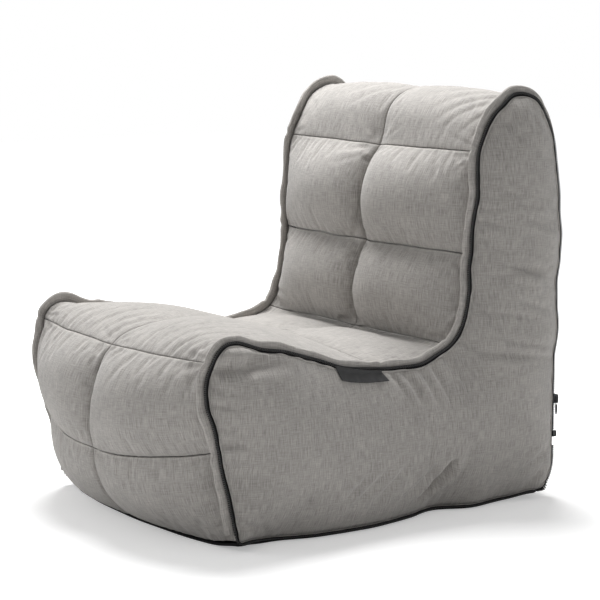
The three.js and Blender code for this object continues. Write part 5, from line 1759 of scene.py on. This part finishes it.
def coverTree():
    places, faces = [], []
    start = 0
    panels = [f"{row['name']}_{word}" for row in rows for word in ("left", "right")]
    for name in [*panels, "side_left", "side_right"]:
        mesh = bpy.data.objects[name].data
        places.append(pointsOf(mesh))
        faces += [[k + start for k in face.vertices] for face in mesh.polygons]
        start += len(mesh.vertices)
    return BVHTree.FromPolygons(np.concatenate(places).tolist(), faces)


def seamTree():
    # The strip's seams with the cloth beside them, as they lie before it is blown up.
    faces = gridFaces(gridHigh, gridWide)
    beside = held.ravel()[faces].any(1)
    return BVHTree.FromPolygons(stripBase.reshape(-1, 3).tolist(), faces[beside].tolist())


def heldInside(points, tree, look):
    # Moves the points in from a surface until they're clear of it, and up from the floor.
    points = points.copy()
    for k, point in enumerate(points.tolist()):
        spot, normal, _, far = tree.find_nearest(Vector(point))
        if spot is None:
            continue
        depth = (Vector(point) - spot).dot(normal)
        if depth > -look["clear"] and far < look["within"]:
            points[k] += np.array(normal) * (-look["clear"] - depth)
    points[:, 2] = np.maximum(points[:, 2], look["linerFloor"])
    return points


def relaxed(points, faces, times):
    pairs = np.array([(a, b) for face in faces for a, b in zip(face, face[1:] + face[:1])])
    count = np.bincount(pairs[:, 0], minlength=len(points)) + np.bincount(pairs[:, 1], minlength=len(points))
    for _ in range(times):
        total = np.zeros_like(points)
        np.add.at(total, pairs[:, 0], points[pairs[:, 1]])
        np.add.at(total, pairs[:, 1], points[pairs[:, 0]])
        points = points * 0.5 + 0.5 * total / count[:, None]
    return points


def lumps(points, scale, seed):
    random = np.random.default_rng(seed)
    value = np.zeros(len(points))
    for _ in range(7):
        turn = unit(random.normal(size=3)) * random.uniform(0.7, 1.4) * 2 * np.pi / scale
        value += np.sin(points @ turn + random.uniform(0, 6.28))
    return value / 7


def makeInner(look):
    shape, faces = innerShape(look)
    cover, seams = coverTree(), seamTree()
    for times in (3, 1):
        for tree in (cover, seams):
            shape = heldInside(shape, tree, look)
        shape = relaxed(shape, faces, times)
    shape = heldInside(shape, seams, look)
    normals = meshNormals(shape, faces)
    if (normals * (shape - shape.mean(0))).sum() < 0:
        normals = -normals
    puckers = np.minimum(0, lumps(shape, 0.05, 5) - 0.1) + np.minimum(0, lumps(shape, 0.018, 6)) * 0.5
    linerPoints = shape + normals * (look["linerPuckers"] * puckers)[:, None]
    linerPoints[:, 2] = np.maximum(linerPoints[:, 2], look["linerFloor"])
    liner = newPiece("liner_bag", linerPoints, faces, liningCloth)
    standsFor(liner, "inner_liner")
    fillingPoints = shape - normals * look["fillingInset"]
    fillingPoints += normals * (look["fillingLumps"] * (lumps(shape, 0.030, 7) - 0.8))[:, None]
    fillingPoints[:, 2] = np.maximum(fillingPoints[:, 2], look["fillingFloor"])
    filling = newPiece("filling_of_beads", fillingPoints, faces, beadFoam)
    standsFor(filling, "bead_filling")


makeInner(innerLook)
print("liner and filling ready")
